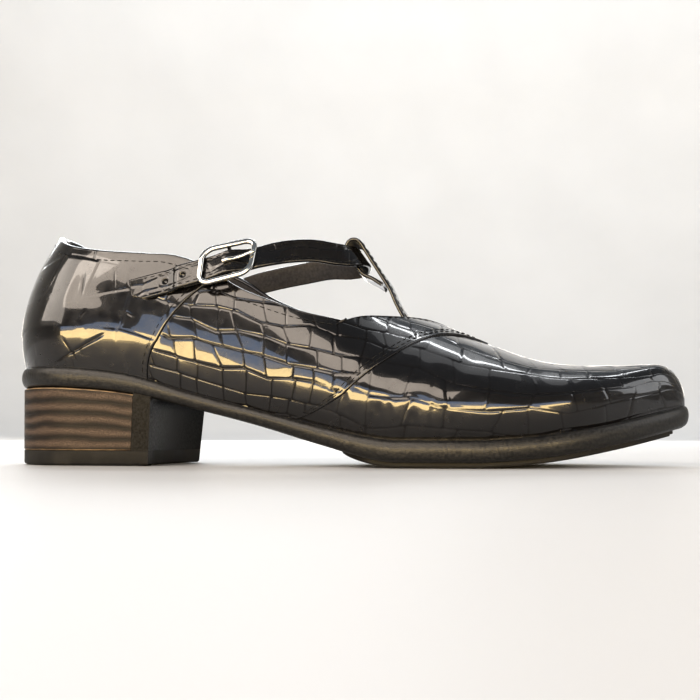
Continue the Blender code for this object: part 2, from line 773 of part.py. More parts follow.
def ankle_strap():
    """Ribbon from the inner quarter through the loop, over the buckle's bar and back."""
    anchor = np.linspace(ANCHOR_START, ANCHOR_END, 4)
    rows = [ribbon_row("medial", s, GAP + STRAP_THICKNESS / 2, ANCHOR_RISE) for s in anchor]
    for key in FREE_STRAP:
        place = np.array(LOOP_CENTRE) + (key.x, key.y, key.z)
        rows.append((*place, *unit(np.array([key.up_x, key.up_y, key.up_z]))))
    rows += [ribbon_row("lateral", s, strap_height(s), 0.0) for s in np.linspace(-10.0, TAIL_LENGTH, 24)]
    dense = curve(rows, 96)
    path = dense[:, :3]
    along = np.gradient(path, axis=0)
    normal = unit(np.cross(along, dense[:, 3:]))
    side = unit(np.cross(normal, along))
    run = lengths(path)
    tips = STRAP_TIP_SLANT * np.maximum(0.0, run - run[-1] + STRAP_TIP)
    rings = []
    half = STRAP_WIDTH / 2
    for point, w, n, tip in zip(path, side, normal, tips):
        ring = []
        for a, b in ((-half + tip, -0.5), (half, -0.5), (half, 0.5), (-half + tip, 0.5)):
            ring.append(point + w * a + n * STRAP_THICKNESS * b)
        rings.append(ring)
    return loft("ankle_strap", rings, BLACK_PATENT)


def ribbon_row(side, s, n, rise):
    """Point of the strap's middle and the way up across it, beside the last."""
    low = strap_spot(side, s, rise - 1.0, n)
    high = strap_spot(side, s, rise + 1.0, n)
    return (*((low + high) / 2), *unit(high - low))


def buckle_tab():
    """Folded strip: a ring round the buckle's bar with both ends together on the counter."""
    profile = []
    outer = tab_ring()
    inner = BAR_WIRE + GAP
    centre = tab_centre()
    mouth = math.asin(TAB_LAYER / outer)
    for angle in np.linspace(mouth, 2 * math.pi - mouth, 22):
        profile.append((outer * math.cos(angle), centre + outer * math.sin(angle)))
    profile.append((TAB_LENGTH, centre - TAB_LAYER))
    profile.append((TAB_LENGTH, centre + TAB_LAYER))
    turns = np.linspace(0, 2 * math.pi, 20, False)
    hole = [(inner * math.cos(turn), centre + inner * math.sin(turn)) for turn in turns]
    outline_rings = []
    for w in (-TAB_WIDTH / 2, TAB_WIDTH / 2):
        outline_rings.append([strap_spot("lateral", s, w, n) for s, n in profile])
    body = loft("buckle_tab", outline_rings, BLACK_PATENT)
    hole_rings = []
    for w in (-TAB_WIDTH, TAB_WIDTH):
        hole_rings.append([strap_spot("lateral", s, w, n) for s, n in hole])
    bore = loft("buckle_tab_bore", hole_rings, BLACK_PATENT)
    return combine(body, bore, "DIFFERENCE")


def tube(path, radius, sides, across, closed_path=False):
    """Rings of a round wire along a path, set out from a direction that it never runs in."""
    path = np.array(path)
    if closed_path:
        along = np.roll(path, -1, axis=0) - np.roll(path, 1, axis=0)
    else:
        along = np.gradient(path, axis=0)
    along = unit(along)
    a = unit(np.cross(along, across))[:, None]
    b = np.cross(along[:, None], a)
    angles = np.linspace(0.0, 2 * math.pi, sides, False)[None, :, None]
    return path[:, None] + radius * (a * np.cos(angles) + b * np.sin(angles))


def frame_height(s):
    """How far the buckle's frame stands off the leather along the strap."""
    back = strap_height(BUCKLE_LENGTH / 2 - WIRE) + STRAP_THICKNESS / 2 + GAP + WIRE
    ahead = strap_height(WIRE - BUCKLE_LENGTH / 2) + STRAP_THICKNESS / 2 + GAP + WIRE
    share = (s + BUCKLE_LENGTH / 2) / BUCKLE_LENGTH
    return ahead + (back - ahead) * share + FRAME_REST


def buckle_frame():
    """Rounded frame with a bar across its middle that dips under the strap."""
    half_length = BUCKLE_LENGTH / 2 - WIRE
    half_height = BUCKLE_HEIGHT / 2 - WIRE
    path = []
    for quarter, (cs, cw) in enumerate(((1, 1), (-1, 1), (-1, -1), (1, -1))):
        for angle in np.linspace(0.0, math.pi / 2, 6) + quarter * math.pi / 2:
            s = cs * (half_length - BUCKLE_CORNER) + BUCKLE_CORNER * math.cos(angle)
            w = cw * (half_height - BUCKLE_CORNER) + BUCKLE_CORNER * math.sin(angle)
            path.append(strap_spot("lateral", s, w, frame_height(s)))
    here = strap_spot("lateral", 0.0, 0.0, 0.0)
    out = strap_spot("lateral", 0.0, 0.0, 1.0) - here
    frame = loft("buckle_frame", tube(path, WIRE, 10, out, True), SILVER, capped=False, closed_path=True)
    high = frame_height(0.0)
    low = tab_centre()
    outward = [(half_height + key.reach, high + (low - high) * key.drop) for key in CRANK]
    spots = [(-reach, n) for reach, n in outward] + outward[::-1]
    back = strap_spot("lateral", 1.0, 0.0, 0.0) - here
    bar_path = [strap_spot("lateral", 0.0, w, n) for w, n in spots]
    bar = loft("buckle_bar", tube(bar_path, BAR_WIRE, 10, back), SILVER)
    return combine(frame, bar, "UNION")


def buckle_prong():
    """Pin from the strap's hole over the bar to the frame's front, resting on it."""
    clear = STRAP_THICKNESS / 2 + GAP + PRONG_RADIUS
    rows = [(s, strap_height(s) + clear) for s in np.linspace(1.0, -PRONG_REACH, 6)]
    front = WIRE - BUCKLE_LENGTH / 2
    over = frame_height(front) + WIRE + GAP + PRONG_RADIUS
    rows += [(front + 1.5 * WIRE, over), (front - WIRE, over)]
    path = [strap_spot("lateral", s, 0.0, n) for s, n in rows]
    across = strap_spot("lateral", 0.0, 1.0, 0.0) - strap_spot("lateral", 0.0, 0.0, 0.0)
    return loft("buckle_prong", tube(path, PRONG_RADIUS, 8, across), SILVER)


def main():
    clear_scene()
    made = outsole()
    made += [heel_stack(), heel_top_piece(), forefoot_tread(), insole(), upper(), t_bar()]
    made.append(ankle_strap())
    made += buckle_tab()
    made += buckle_frame()
    made.append(buckle_prong())
    corners = np.array([v.co[:] for obj in made for v in obj.data.vertices])
    low = corners.min(axis=0)
    high = corners.max(axis=0)
    shoe = bpy.data.objects.new("shoe", None)
    bpy.context.scene.collection.objects.link(shoe)
    shoe.location = (-(low[0] + high[0]) / 2, -(low[1] + high[1]) / 2, -low[2])
    for obj in made:
        obj.parent = shoe


main()
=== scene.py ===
"""Looks of the buckle strap low heel shoe, dressed around its solids.

Lengths are in millimetres, counted as in the design of the solids: x from the back of the sole
to the toe, -y to the outer side with the buckle, z up from the floor. to_row() makes them the
frame's metres.
"""
import math
from collections import namedtuple

import bmesh
import bpy
import numpy as np
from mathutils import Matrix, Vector


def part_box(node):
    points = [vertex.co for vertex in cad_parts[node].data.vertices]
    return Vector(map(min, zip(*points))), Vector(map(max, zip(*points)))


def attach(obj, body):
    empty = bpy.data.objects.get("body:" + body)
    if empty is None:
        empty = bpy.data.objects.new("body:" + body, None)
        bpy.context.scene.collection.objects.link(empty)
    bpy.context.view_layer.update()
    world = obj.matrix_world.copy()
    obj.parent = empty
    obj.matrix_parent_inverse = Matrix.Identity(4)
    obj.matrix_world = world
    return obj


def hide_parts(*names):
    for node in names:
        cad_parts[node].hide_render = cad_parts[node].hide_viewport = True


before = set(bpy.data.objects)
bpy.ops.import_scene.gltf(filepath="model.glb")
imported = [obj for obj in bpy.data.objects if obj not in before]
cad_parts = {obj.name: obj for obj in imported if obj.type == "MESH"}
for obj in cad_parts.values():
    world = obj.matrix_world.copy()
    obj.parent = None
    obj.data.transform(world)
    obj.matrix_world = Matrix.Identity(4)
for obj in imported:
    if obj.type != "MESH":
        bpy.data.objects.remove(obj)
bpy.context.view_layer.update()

METRES = 0.001
TINY = 1e-12

# Driving sizes, as in the solids
TOE_TIP = 258.0
HEEL_BACK = 2.0
HEEL_REACH = 28.0
TOE_REACH = 45.0
TOE_BOX_REACH = 12.0
TOE_BOX_POWER = 2.2
GAP = 0.3
TREAD_THICKNESS = 1.5
RIM_OVERHANG = 2.5
TOE_OVERHANG = 1.2
ARCH_SWELL = 2.0
WALL = 1.5
SEAM_STEP = 0.7
HEEL_LEAN = 18.0
HEEL_BULGE = 4.5
HEEL_NIP = 0.72
HEEL_LEAN_HEIGHT = 60.0
HEEL_LEAN_REACH = 70.0
THROAT = 171.0
THROAT_RUN = 136.0
INSOLE_INSET = 5.2
INSOLE_TOE = 11.0
INSOLE_THICKNESS = 2.0
UPPER_BACK = HEEL_BACK + RIM_OVERHANG
UPPER_TOE = TOE_TIP - TOE_OVERHANG

# The last and the sole, a row for each section, with the columns of the solids' own table
Section = namedtuple("Section", "x lateral medial lift rim arch ridge swell widest crown shift")
LAST = [
    Section(0, 30.0, 30.0, 27.2, 8.0, 0.0, 112, 2.0, 13.5, 1.00, 0.0),
    Section(30, 30.0, 29.8, 26.9, 8.0, 0.0, 112, 2.0, 14.5, 1.00, 0.0),
    Section(55, 30.4, 28.0, 24.6, 7.4, 0.5, 111, 2.0, 15.0, 1.00, 0.5),
    Section(80, 30.9, 22.8, 19.0, 5.8, 1.8, 108, 2.2, 15.0, 1.05, 1.0),
    Section(105, 33.0, 20.0, 12.8, 5.7, 2.2, 99, 2.6, 14.5, 1.15, 2.0),
    Section(130, 37.0, 23.0, 5.6, 6.6, 1.6, 80, 3.0, 13.0, 1.30, 2.5),
    Section(150, 39.2, 33.4, 0.5, 7.6, 0.5, 61, 3.0, 12.0, 1.35, 2.0),
    Section(168, 39.6, 39.8, -0.5, 7.6, 0.0, 53.1, 3.0, 11.0, 1.30, 1.5),
    Section(188, 37.8, 40.3, 0.2, 7.6, 0.0, 44.6, 2.8, 10.0, 1.15, 1.0),
    Section(208, 32.9, 35.4, 2.0, 7.6, 0.0, 38.0, 2.4, 9.0, 1.00, 0.5),
    Section(230, 25.2, 28.8, 6.0, 7.6, 0.0, 36.5, 1.8, 8.0, 0.92, 0.0),
    Section(258, 15.0, 19.5, 12.6, 7.6, 0.0, 37.8, 1.0, 7.0, 0.80, 0.0),
]

Topline = namedtuple("Topline", "x lateral medial")
TOPLINE = [
    Topline(5, 90.4, 90.4),
    Topline(8, 89.6, 89.7),
    Topline(12, 88.0, 88.4),
    Topline(18, 85.4, 86.4),
    Topline(26, 82.8, 84.4),
    Topline(40, 80.2, 82.6),
    Topline(60, 78.2, 81.0),
    Topline(72, 77.0, 80.0),
    Topline(80, 74.2, 77.8),
    Topline(88, 69.8, 73.6),
    Topline(96, 64.8, 68.4),
    Topline(108, 59.6, 62.6),
    Topline(120, 55.0, 57.6),
    Topline(136, 51.0, 53.0),
]

Rib = namedtuple("Rib", "x skew turn")
COUNTER_SEAM = 62.8
THROAT_RIB = 114.0
VAMP_SEAM = 119.0
RIBS = [
    Rib(UPPER_BACK, 0.0, 1.6),
    Rib(30, 6.0, 2.0),
    Rib(COUNTER_SEAM, 26.4, 2.2),
    Rib(75, 28.5, 1.8),
    Rib(85, 30.0, 1.4),
    Rib(95, 32.5, 1.1),
    Rib(102, 35.0, 0.95),
    Rib(108, 44.0, 0.85),
    Rib(THROAT_RIB, 57.0, 0.8),
    Rib(VAMP_SEAM, 67.0, 0.8),
    Rib(125, 66.0, 0.82),
    Rib(135, 60.5, 0.85),
    Rib(150, 54.0, 0.9),
    Rib(170, 45.5, 0.95),
    Rib(190, 35.0, 1.0),
    Rib(210, 23.5, 1.0),
    Rib(230, 12.5, 1.0),
    Rib(245, 5.0, 1.0),
    Rib(UPPER_TOE, 0.0, 1.0),
]

RimPoint = namedtuple("RimPoint", "x inset drop")
RIM_PROFILE = [
    RimPoint(0.0, 1.3, 0.0),
    RimPoint(0.2, 0.5, 0.12),
    RimPoint(0.4, 0.0, 0.38),
    RimPoint(0.6, 0.2, 0.66),
    RimPoint(0.8, 1.0, 0.88),
    RimPoint(1.0, 2.6, 1.0),
]

# Heel
HEEL_INSET_TOP = 1.0
HEEL_INSET_FOOT = 3.7
HEEL_REAR_FOOT = 1.2
HEEL_TAPER_HEIGHT = 29.0
BREAST_FOOT = 64.6
BREAST_TOP = 66.4
BREAST_HOLLOW = 4.5
BREAST_SKEW = 0.06
BREAST_FILLET = 3.0
FRAME_STRIP = 8.5
STACK_THICKNESS = 2.0
STACK_LAYERS = 5
TOP_PIECE_HEIGHT = 5.5
HEEL_CORE_TOP = 29.6

# Forefoot tread
TREAD_REAR = 131.5
TREAD_ROUND = 14.0
TREAD_INSET = 5.0
TREAD_FRONT = TOE_TIP - TREAD_INSET - 1.5
TREAD_GROOVES = (156.3, 183.9, 209.9)
GROOVE_WIDTH = 2.2
SLANT = 0.05
SLANT_GROWTH = 0.00122

# T-bar, strap and buckle
BAR_WIDTH = 17.0
BAR_THICKNESS = 1.4
BAR_EMERGES = 158.0
BAR_FREE = 140.0
LOOP_CENTRE = (138.5, 0.0, 79.5)
LOOP_SLOPE = math.radians(56)
LOOP_HALF_GAP = 3.0
LOOP_TURN = 3.9
STRAP_WIDTH = 9.0
STRAP_THICKNESS = 1.5
STRAP_SLOPE = 0.24
BUCKLE_X = 93.0
BUCKLE_Z = 72.2
BUCKLE_LENGTH = 20.0
BUCKLE_HEIGHT = 16.0
BUCKLE_CORNER = 4.0
WIRE = 1.0
BAR_WIRE = 0.8
TAB_WIDTH = 8.0
TAB_LENGTH = 17.0
TAB_LAYER = 0.7
TAIL_LENGTH = 36.0

SIGN = {"lateral": -1.0, "medial": 1.0}


# Curves through the tables, as in the solids

def smooth(table, column, x):
    """One column at stations x, on a smooth curve through the rows."""
    xs = np.array([row.x for row in table], float)
    ys = np.array([getattr(row, column) for row in table], float)
    return curve(xs, ys, x)


def curve(xs, ys, x):
    """Height at x of a smooth curve through points."""
    slopes = np.gradient(ys, xs)
    x = np.asarray(x, float)
    i = np.clip(np.searchsorted(xs, x) - 1, 0, len(xs) - 2)
    step = xs[i + 1] - xs[i]
    t = np.clip((x - xs[i]) / step, 0.0, 1.0)
    start = (1 + 2 * t) * (1 - t) ** 2 * ys[i] + t * (1 - t) ** 2 * step * slopes[i]
    end = t * t * (3 - 2 * t) * ys[i + 1] + t * t * (t - 1) * step * slopes[i + 1]
    return start + end


def ease(t):
    """0 to 1 with soft ends."""
    t = np.clip(t, 0.0, 1.0)
    return t * t * (3 - 2 * t)


def unit(vectors):
    """Vectors of length 1, or 0 where there is no length."""
    length = np.linalg.norm(vectors, axis=-1, keepdims=True)
    return vectors / np.maximum(length, TINY)


def end_round(distance, reach, power=2.0):
    t = np.clip(np.asarray(distance, float) / reach, 0.0, 1.0)
    return (1 - (1 - t) ** power) ** (1 / power)


def half_width(side, x, inset=0.0, toe_inset=None):
    base = smooth(LAST, side, x) - inset
    heel = end_round(x - HEEL_BACK - inset, HEEL_REACH)
    toe = end_round(TOE_TIP - (inset if toe_inset is None else toe_inset) - x, TOE_REACH)
    return base * heel * toe


def lift(x):
    return np.maximum(smooth(LAST, "lift", x), 0.0)


def arch(x):
    return np.maximum(smooth(LAST, "arch", x), 0.0)


def rim_bottom(x):
    return lift(x) + TREAD_THICKNESS + GAP


def feather(x):
    return rim_bottom(x) + smooth(LAST, "rim", x)


def stations(count, inset=0.0):
    angle = np.linspace(0.0, math.pi, count)
    start = HEEL_BACK + inset
    return start + (TOE_TIP - inset - start) * (1 - np.cos(angle)) / 2


# Surface of the last, as in the solids

def last_sizes(side, x):
    edge = half_width(side, x, RIM_OVERHANG, TOE_OVERHANG)
    swell = smooth(LAST, "swell", x)
    if side == "medial":
        swell = swell + ARCH_SWELL * arch(x)
    swell = 1 + swell / smooth(LAST, side, x)
    toe = end_round(TOE_TIP - TOE_OVERHANG - x, TOE_BOX_REACH, TOE_BOX_POWER)
    low = feather(x) + GAP
    wide = low + smooth(LAST, "widest", x) * toe
    ridge = low + (smooth(LAST, "ridge", x) - low) * toe
    return edge * swell, wide, ridge, low, np.arccos(1 / swell)


def heel_fade(x):
    return np.clip(1 - x / HEEL_LEAN_REACH, 0.0, 1.0) ** 2


def lean(x, height):
    t = height / HEEL_LEAN_HEIGHT
    return heel_fade(x) * (HEEL_LEAN * np.maximum(t, 0) ** 2 - 4 * HEEL_BULGE * t * (1 - t))


def last_point(side, x, q):
    """Point of the last's surface: q is 0 at the feather edge and 1 on the ridge."""
    width, wide, ridge, low, roll = last_sizes(side, x)
    turn = -roll + q * (math.pi / 2 + roll)
    up = np.maximum(turn, 0.0)
    crown = smooth(LAST, "crown", x)
    under = width * np.cos(np.minimum(turn, 0.0))
    nip = 1 - HEEL_NIP * heel_fade(x) * np.sin(up)
    y = under * nip * np.maximum(np.cos(up), 0.0) ** crown
    below = wide + (wide - low) * np.sin(np.minimum(turn, 0.0)) / np.sin(roll)
    z = below + (ridge - wide) * np.sin(up)
    y = SIGN[side] * y + smooth(LAST, "shift", x) * np.sin(up) ** 2
    return np.stack(np.broadcast_arrays(x + lean(x, z - low), y, z), axis=-1)


def share_at(side, x, z):
    _, wide, ridge, low, roll = last_sizes(side, x)
    up = np.arcsin(np.clip((z - wide) / (ridge - wide), 0.0, 1.0))
    under = -np.arcsin(np.clip((wide - z) / (wide - low), 0.0, 1.0) * np.sin(roll))
    turn = np.where(z >= wide, up, under)
    return (turn + roll) / (math.pi / 2 + roll)


def on_last(side, x, z, out=0.0):
    """Point of the last at a station and height, moved out along the surface's normal."""
    step = 0.2
    x, z, out = np.broadcast_arrays(np.asarray(x, float), z, out)
    here = last_point(side, x, share_at(side, x, z))
    along = last_point(side, x + step, share_at(side, x + step, z)) - here
    upward = last_point(side, x, share_at(side, x, z + step)) - here
    normal = unit(np.cross(along, upward) * -SIGN[side])
    return here + normal * out[..., None]


def collar_share(side, x):
    back = np.minimum(x, THROAT_RUN)
    start = share_at(side, back, smooth(TOPLINE, side, back))
    run = np.clip((x - THROAT_RUN) / (THROAT - THROAT_RUN), 0.0, 1.0)
    return start + (1 - start) * run


def rib_run(start, w):
    """Station reached at a share w of the rib that starts at a station of the feather edge."""
    return start + smooth(RIBS, "skew", start) * w ** smooth(RIBS, "turn", start)


def skin(side, start, w):
    """Points of the last and normals, on the ribs from the feather edge up to collar or ridge."""
    start, w = np.broadcast_arrays(np.asarray(start, float), w)

    def at(a, b):
        return last_point(side, rib_run(a, b), collar_share(side, rib_run(a, 1.0)) * b)

    ds = 0.05
    dw = 0.002
    nudge_ahead = 1e-9
    points = at(start, w)
    along = at(np.minimum(start + ds, UPPER_TOE), w) - at(np.maximum(start - ds, UPPER_BACK), w)
    upward = at(start, np.minimum(w + dw, 1.0)) - at(start, np.maximum(w - dw, 0.0))
    normals = np.cross(upward, along) * SIGN[side]
    normals[..., 0] += nudge_ahead
    middle = (start <= UPPER_BACK) | ((w >= 1.0) & (rib_run(start, 1.0) >= THROAT))
    normals[middle, 1] = 0.0
    return points, unit(normals)


# Meshes

toe_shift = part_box("outsole")[1].x / METRES - TOE_TIP
bar_low, bar_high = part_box("t_bar")
SHIFT = np.array([toe_shift, (bar_low.y + bar_high.y) / 2 / METRES, 0.0])


def to_row(points):
    return (np.asarray(points, float) + SHIFT) * METRES


# Distance in metres at which the points of a piece are joined
WELD = 2e-6

# A net of points, rows by columns: its material's number, flat coordinates for the material, and
# how deep in a groove each point lies
Net = namedtuple("Net", "points flip wrap look flat groove", defaults=(False, False, 0, None, None))


def net_faces(rows, columns, wrap, flip):
    i = np.arange(rows - 1)[:, None]
    j = np.arange(columns if wrap else columns - 1)[None, :]
    k = (j + 1) % columns
    a = i * columns + j
    b = i * columns + k
    faces = np.stack([a, b, b + columns, a + columns], axis=-1).reshape(-1, 4)
    return faces[:, ::-1] if flip else faces


def piece(name, nets, looks, nodes=(), weld=WELD, sharp=None):
    """One object from nets, welded where they meet, riding on the shoe.

    Edges that turn by more than the angle sharp, in degrees, stay hard.
    """
    points = []
    faces = []
    numbers = []
    flat = []
    grooves = []
    count = 0
    for net in nets:
        rows, columns = net.points.shape[:2]
        made = net_faces(rows, columns, net.wrap, net.flip)
        points.append(net.points.reshape(-1, 3))
        faces.append(made + count)
        numbers.append(np.full(len(made), net.look))
        own = np.zeros((rows, columns, 2)) if net.flat is None else net.flat
        flat.append(own.reshape(-1, 2))
        grooves.append(np.zeros(rows * columns) if net.groove is None else net.groove.ravel())
        count += rows * columns
    mesh = bpy.data.meshes.new(name)
    mesh.from_pydata(to_row(np.concatenate(points)).tolist(), [], np.concatenate(faces).tolist())
    mesh.polygons.foreach_set("material_index", np.concatenate(numbers).astype(np.int32))
    corners = np.empty(len(mesh.loops), np.int32)
    mesh.loops.foreach_get("vertex_index", corners)
    layer = mesh.uv_layers.new(name="flat")
    layer.data.foreach_set("uv", np.concatenate(flat)[corners].astype(np.float32).ravel())
    mark = mesh.attributes.new("groove", "FLOAT", "POINT")
    mark.data.foreach_set("value", np.concatenate(grooves).astype(np.float32))
    bm = bmesh.new()
    bm.from_mesh(mesh)
    bmesh.ops.remove_doubles(bm, verts=bm.verts, dist=weld)
    bmesh.ops.dissolve_degenerate(bm, edges=bm.edges, dist=weld / 2)
    bm.to_mesh(mesh)
    bm.free()
    mesh.shade_smooth()
    if sharp:
        mesh.set_sharp_from_angle(angle=math.radians(sharp))
    for material in looks:
        mesh.materials.append(material)
    obj = bpy.data.objects.new(name, mesh)
    bpy.context.scene.collection.objects.link(obj)
    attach(obj, "root")
    if nodes:
        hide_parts(*nodes)
    return obj


def closed_ends(rings):
    """Rings of a tube with each end drawn together at its middle."""
    first = np.repeat(rings[:1].mean(axis=1, keepdims=True), rings.shape[1], axis=1)
    last = np.repeat(rings[-1:].mean(axis=1, keepdims=True), rings.shape[1], axis=1)
    return np.concatenate([first, rings, last])


def lengths(points):
    """Length run along a line of points, at each of them."""
    steps = np.linalg.norm(np.diff(points, axis=0), axis=-1)
    return np.concatenate([np.zeros((1, *steps.shape[1:])), np.cumsum(steps, axis=0)])


# Materials

def look(name, colour, roughness, **sockets):
    """Material with a Principled shader; other sockets by name, with _ for a space."""
    made = bpy.data.materials.new(name)
    made.use_nodes = True
    shader = made.node_tree.nodes["Principled BSDF"]
    shader.inputs["Base Color"].default_value = (*colour, 1.0)
    shader.inputs["Roughness"].default_value = roughness
    for socket, value in sockets.items():
        shader.inputs[socket.replace("_", " ")].default_value = value
    return made


def noise(made, scale, detail=2.0, stretch=(1, 1, 1), source="Object"):
    """Noise over the surface; scale counts cells to a metre, or to a unit of the flat coordinates."""
    tree = made.node_tree
    place = tree.nodes.new("ShaderNodeTexCoord")
    mapping = tree.nodes.new("ShaderNodeMapping")
    mapping.inputs["Scale"].default_value = stretch
    texture = tree.nodes.new("ShaderNodeTexNoise")
    texture.inputs["Scale"].default_value = scale
    texture.inputs["Detail"].default_value = detail
    tree.links.new(place.outputs[source], mapping.inputs["Vector"])
    tree.links.new(mapping.outputs["Vector"], texture.inputs["Vector"])
    return texture.outputs[0]


def spread(made, value, low, high, start=0.3, end=0.7):
    tree = made.node_tree
    node = tree.nodes.new("ShaderNodeMapRange")
    node.inputs["From Min"].default_value = start
    node.inputs["From Max"].default_value = end
    node.inputs["To Min"].default_value = low
    node.inputs["To Max"].default_value = high
    tree.links.new(value, node.inputs["Value"])
    return node.outputs["Result"]


def ramp(made, value, stops):
    tree = made.node_tree
    node = tree.nodes.new("ShaderNodeValToRGB")
    while len(node.color_ramp.elements) < len(stops):
        node.color_ramp.elements.new(0.5)
    for element, (place, colour) in zip(node.color_ramp.elements, stops):
        element.position = place
        element.color = (*colour, 1.0)
    tree.links.new(value, node.inputs["Fac"])
    return node.outputs["Color"]


def blend(made, kind, amount, first, second):
    tree = made.node_tree
    node = tree.nodes.new("ShaderNodeMix")
    node.data_type = "RGBA"
    node.blend_type = kind
    node.inputs["Factor"].default_value = amount
    tree.links.new(first, node.inputs[6])
    tree.links.new(second, node.inputs[7])
    return node.outputs[2]


def drive(made, socket, value):
    shader = made.node_tree.nodes["Principled BSDF"]
    made.node_tree.links.new(value, shader.inputs[socket])


def bump(made, height, depth_mm, strength=1.0):
    """Adds fine relief, on top of any that is there."""
    tree = made.node_tree
    shader = tree.nodes["Principled BSDF"]
    node = tree.nodes.new("ShaderNodeBump")
    node.inputs["Strength"].default_value = strength
    node.inputs["Distance"].default_value = depth_mm * METRES
    tree.links.new(height, node.inputs["Height"])
    if shader.inputs["Normal"].links:
        tree.links.new(shader.inputs["Normal"].links[0].from_socket, node.inputs["Normal"])
    tree.links.new(node.outputs["Normal"], shader.inputs["Normal"])


# A layer of noise on a material: cells to a metre, its detail, and the relief that it gives
Grain = namedtuple("Grain", "scale detail depth_mm strength", defaults=(0.0, 0.0))


def finish(name, colour, roughness, grains, tones=None, rough=None, **sockets):
    """Material with grains of noise, of which the first may drive its tones and its roughness."""
    made = look(name, colour, roughness, **sockets)
    values = [noise(made, grain.scale, grain.detail) for grain in grains]
    if tones:
        drive(made, "Base Color", ramp(made, values[0], tones))
    if rough:
        drive(made, "Roughness", spread(made, values[0], *rough))
    for grain, value in zip(grains, values):
        if grain.depth_mm:
            bump(made, value, grain.depth_mm, grain.strength)
    return made


def patent_leather():
    """Black lacquer with a hard coat that is thin in the grooves."""
    grains = [Grain(260, 4), Grain(1500, 3, 0.004, 0.5), Grain(260, 2, 0.02, 0.5)]
    made = finish("patent_leather", (0.004, 0.0037, 0.0042), 0.2, grains, rough=(0.12, 0.3),
                  Specular_IOR_Level=0.2, Coat_Roughness=0.02, Coat_IOR=1.42)
    groove = made.node_tree.nodes.new("ShaderNodeAttribute")
    groove.attribute_name = "groove"
    drive(made, "Coat Weight", spread(made, groove.outputs["Fac"], 1.0, 0.12, 0.15, 0.75))
    return made


def lining_leather():
    tones = [(0.3, (0.018, 0.016, 0.015)), (0.7, (0.045, 0.04, 0.037))]
    return finish("lining_leather", (0.03, 0.027, 0.025), 0.75, [Grain(900, 5, 0.08, 0.6)], tones,
                  Sheen_Weight=0.15, Sheen_Roughness=0.5)


def moulded_rubber(name, shine, grain_mm):
    grains = [Grain(1100, 3, grain_mm, 0.9), Grain(240, 3, 0.04, 0.35)]
    tones = [(0.35, (0.004, 0.004, 0.0044)), (0.7, (0.017, 0.017, 0.0175))]
    return finish(name, (0.008, 0.008, 0.0085), 0.4, grains, tones, (0.28, 0.52),
                  Specular_IOR_Level=shine)


def tread_rubber():
    grains = [Grain(130, 5), Grain(1800, 3, 0.04, 0.6)]
    tones = [(0.4, (0.009, 0.009, 0.0095)), (0.75, (0.024, 0.0235, 0.023))]
    return finish("tread_rubber", (0.018, 0.018, 0.0185), 0.6, grains, tones, (0.5, 0.72),
                  Specular_IOR_Level=0.25)


# Scale at which the wave node makes one band to a unit of the flat coordinates
ONE_BAND = 2 * math.pi / 20


def stacked_leather():
    """Brown layers, dark at their joints, with fibres along them.

    The flat coordinates count millimetres along the heel and layers up it.
    """
    made = look("stacked_leather", (0.07, 0.05, 0.04), 0.5, Specular_IOR_Level=0.25)
    tree = made.node_tree
    place = tree.nodes.new("ShaderNodeTexCoord")
    mapping = tree.nodes.new("ShaderNodeMapping")
    mapping.inputs["Scale"].default_value = (0.1, 1.0, 1.0)
    layers = tree.nodes.new("ShaderNodeTexWave")
    layers.bands_direction = "Y"
    layers.inputs["Scale"].default_value = ONE_BAND
    layers.inputs["Distortion"].default_value = 1.6
    layers.inputs["Detail"].default_value = 4.0
    layers.inputs["Detail Scale"].default_value = 2.5
    tree.links.new(place.outputs["UV"], mapping.inputs["Vector"])
    tree.links.new(mapping.outputs["Vector"], layers.inputs["Vector"])
    tones = [
        (0.05, (0.013, 0.0105, 0.009)),
        (0.35, (0.026, 0.020, 0.0165)),
        (0.75, (0.062, 0.046, 0.037)),
        (1.00, (0.082, 0.062, 0.051)),
    ]
    fibres = noise(made, 1.0, 5, (0.3, 14.0, 1.0), "UV")
    grain = noise(made, 1.0, 4, (2.2, 11.0, 1.0), "UV")
    streaks = ramp(made, fibres, [(0.3, (0.55, 0.53, 0.52)), (0.7, (1.15, 1.12, 1.1))])
    specks = ramp(made, grain, [(0.38, (0.4, 0.4, 0.4)), (0.6, (1.2, 1.2, 1.2))])
    colour = blend(made, "MULTIPLY", 0.85, ramp(made, layers.outputs[0], tones), streaks)
    drive(made, "Base Color", blend(made, "MULTIPLY", 0.85, colour, specks))
    drive(made, "Roughness", spread(made, fibres, 0.42, 0.64))
    bump(made, fibres, 0.08, 0.7)
    bump(made, grain, 0.05, 0.6)
    return made


def tan_edge_and_highlight():
    """Tan edge of the stack; its light tan is partly the edge's own colour and partly a painted
    highlight along the bevel.
    """
    tones = [(0.35, (0.06, 0.042, 0.028)), (0.6, (0.24, 0.17, 0.10))]
    return finish("tan_edge_and_highlight", (0.20, 0.14, 0.085), 0.5, [Grain(160, 4, 0.05, 0.5)], tones)


def polished_silver():
    grains = [Grain(700, 4), Grain(2600, 2, 0.006, 0.4)]
    return finish("polished_silver", (0.52, 0.51, 0.49), 0.1, grains, rough=(0.05, 0.18), Metallic=1.0)


def black_thread():
    return finish("black_thread", (0.006, 0.006, 0.0065), 0.5, [Grain(4200, 2, 0.05, 0.8)],
                  Specular_IOR_Level=0.25)


PATENT = patent_leather()
LINING = lining_leather()
RUBBER = moulded_rubber("sole_rubber", 0.38, 0.10)
HEEL_RUBBER = moulded_rubber("heel_rubber", 0.12, 0.03)
TREAD = tread_rubber()
STACK = stacked_leather()
STACK_EDGE_AND_HIGHLIGHT = tan_edge_and_highlight()
SILVER = polished_silver()
THREAD = black_thread()


# Embossed scales

OUTLINE_STEPS = 1200
SECTION_STEPS = 400
SECTION_POINTS = 60


def outline_table(side):
    x = np.linspace(UPPER_BACK, UPPER_TOE, OUTLINE_STEPS)
    width, *_ = last_sizes(side, x)
    return x, lengths(np.stack([x, width], axis=1))


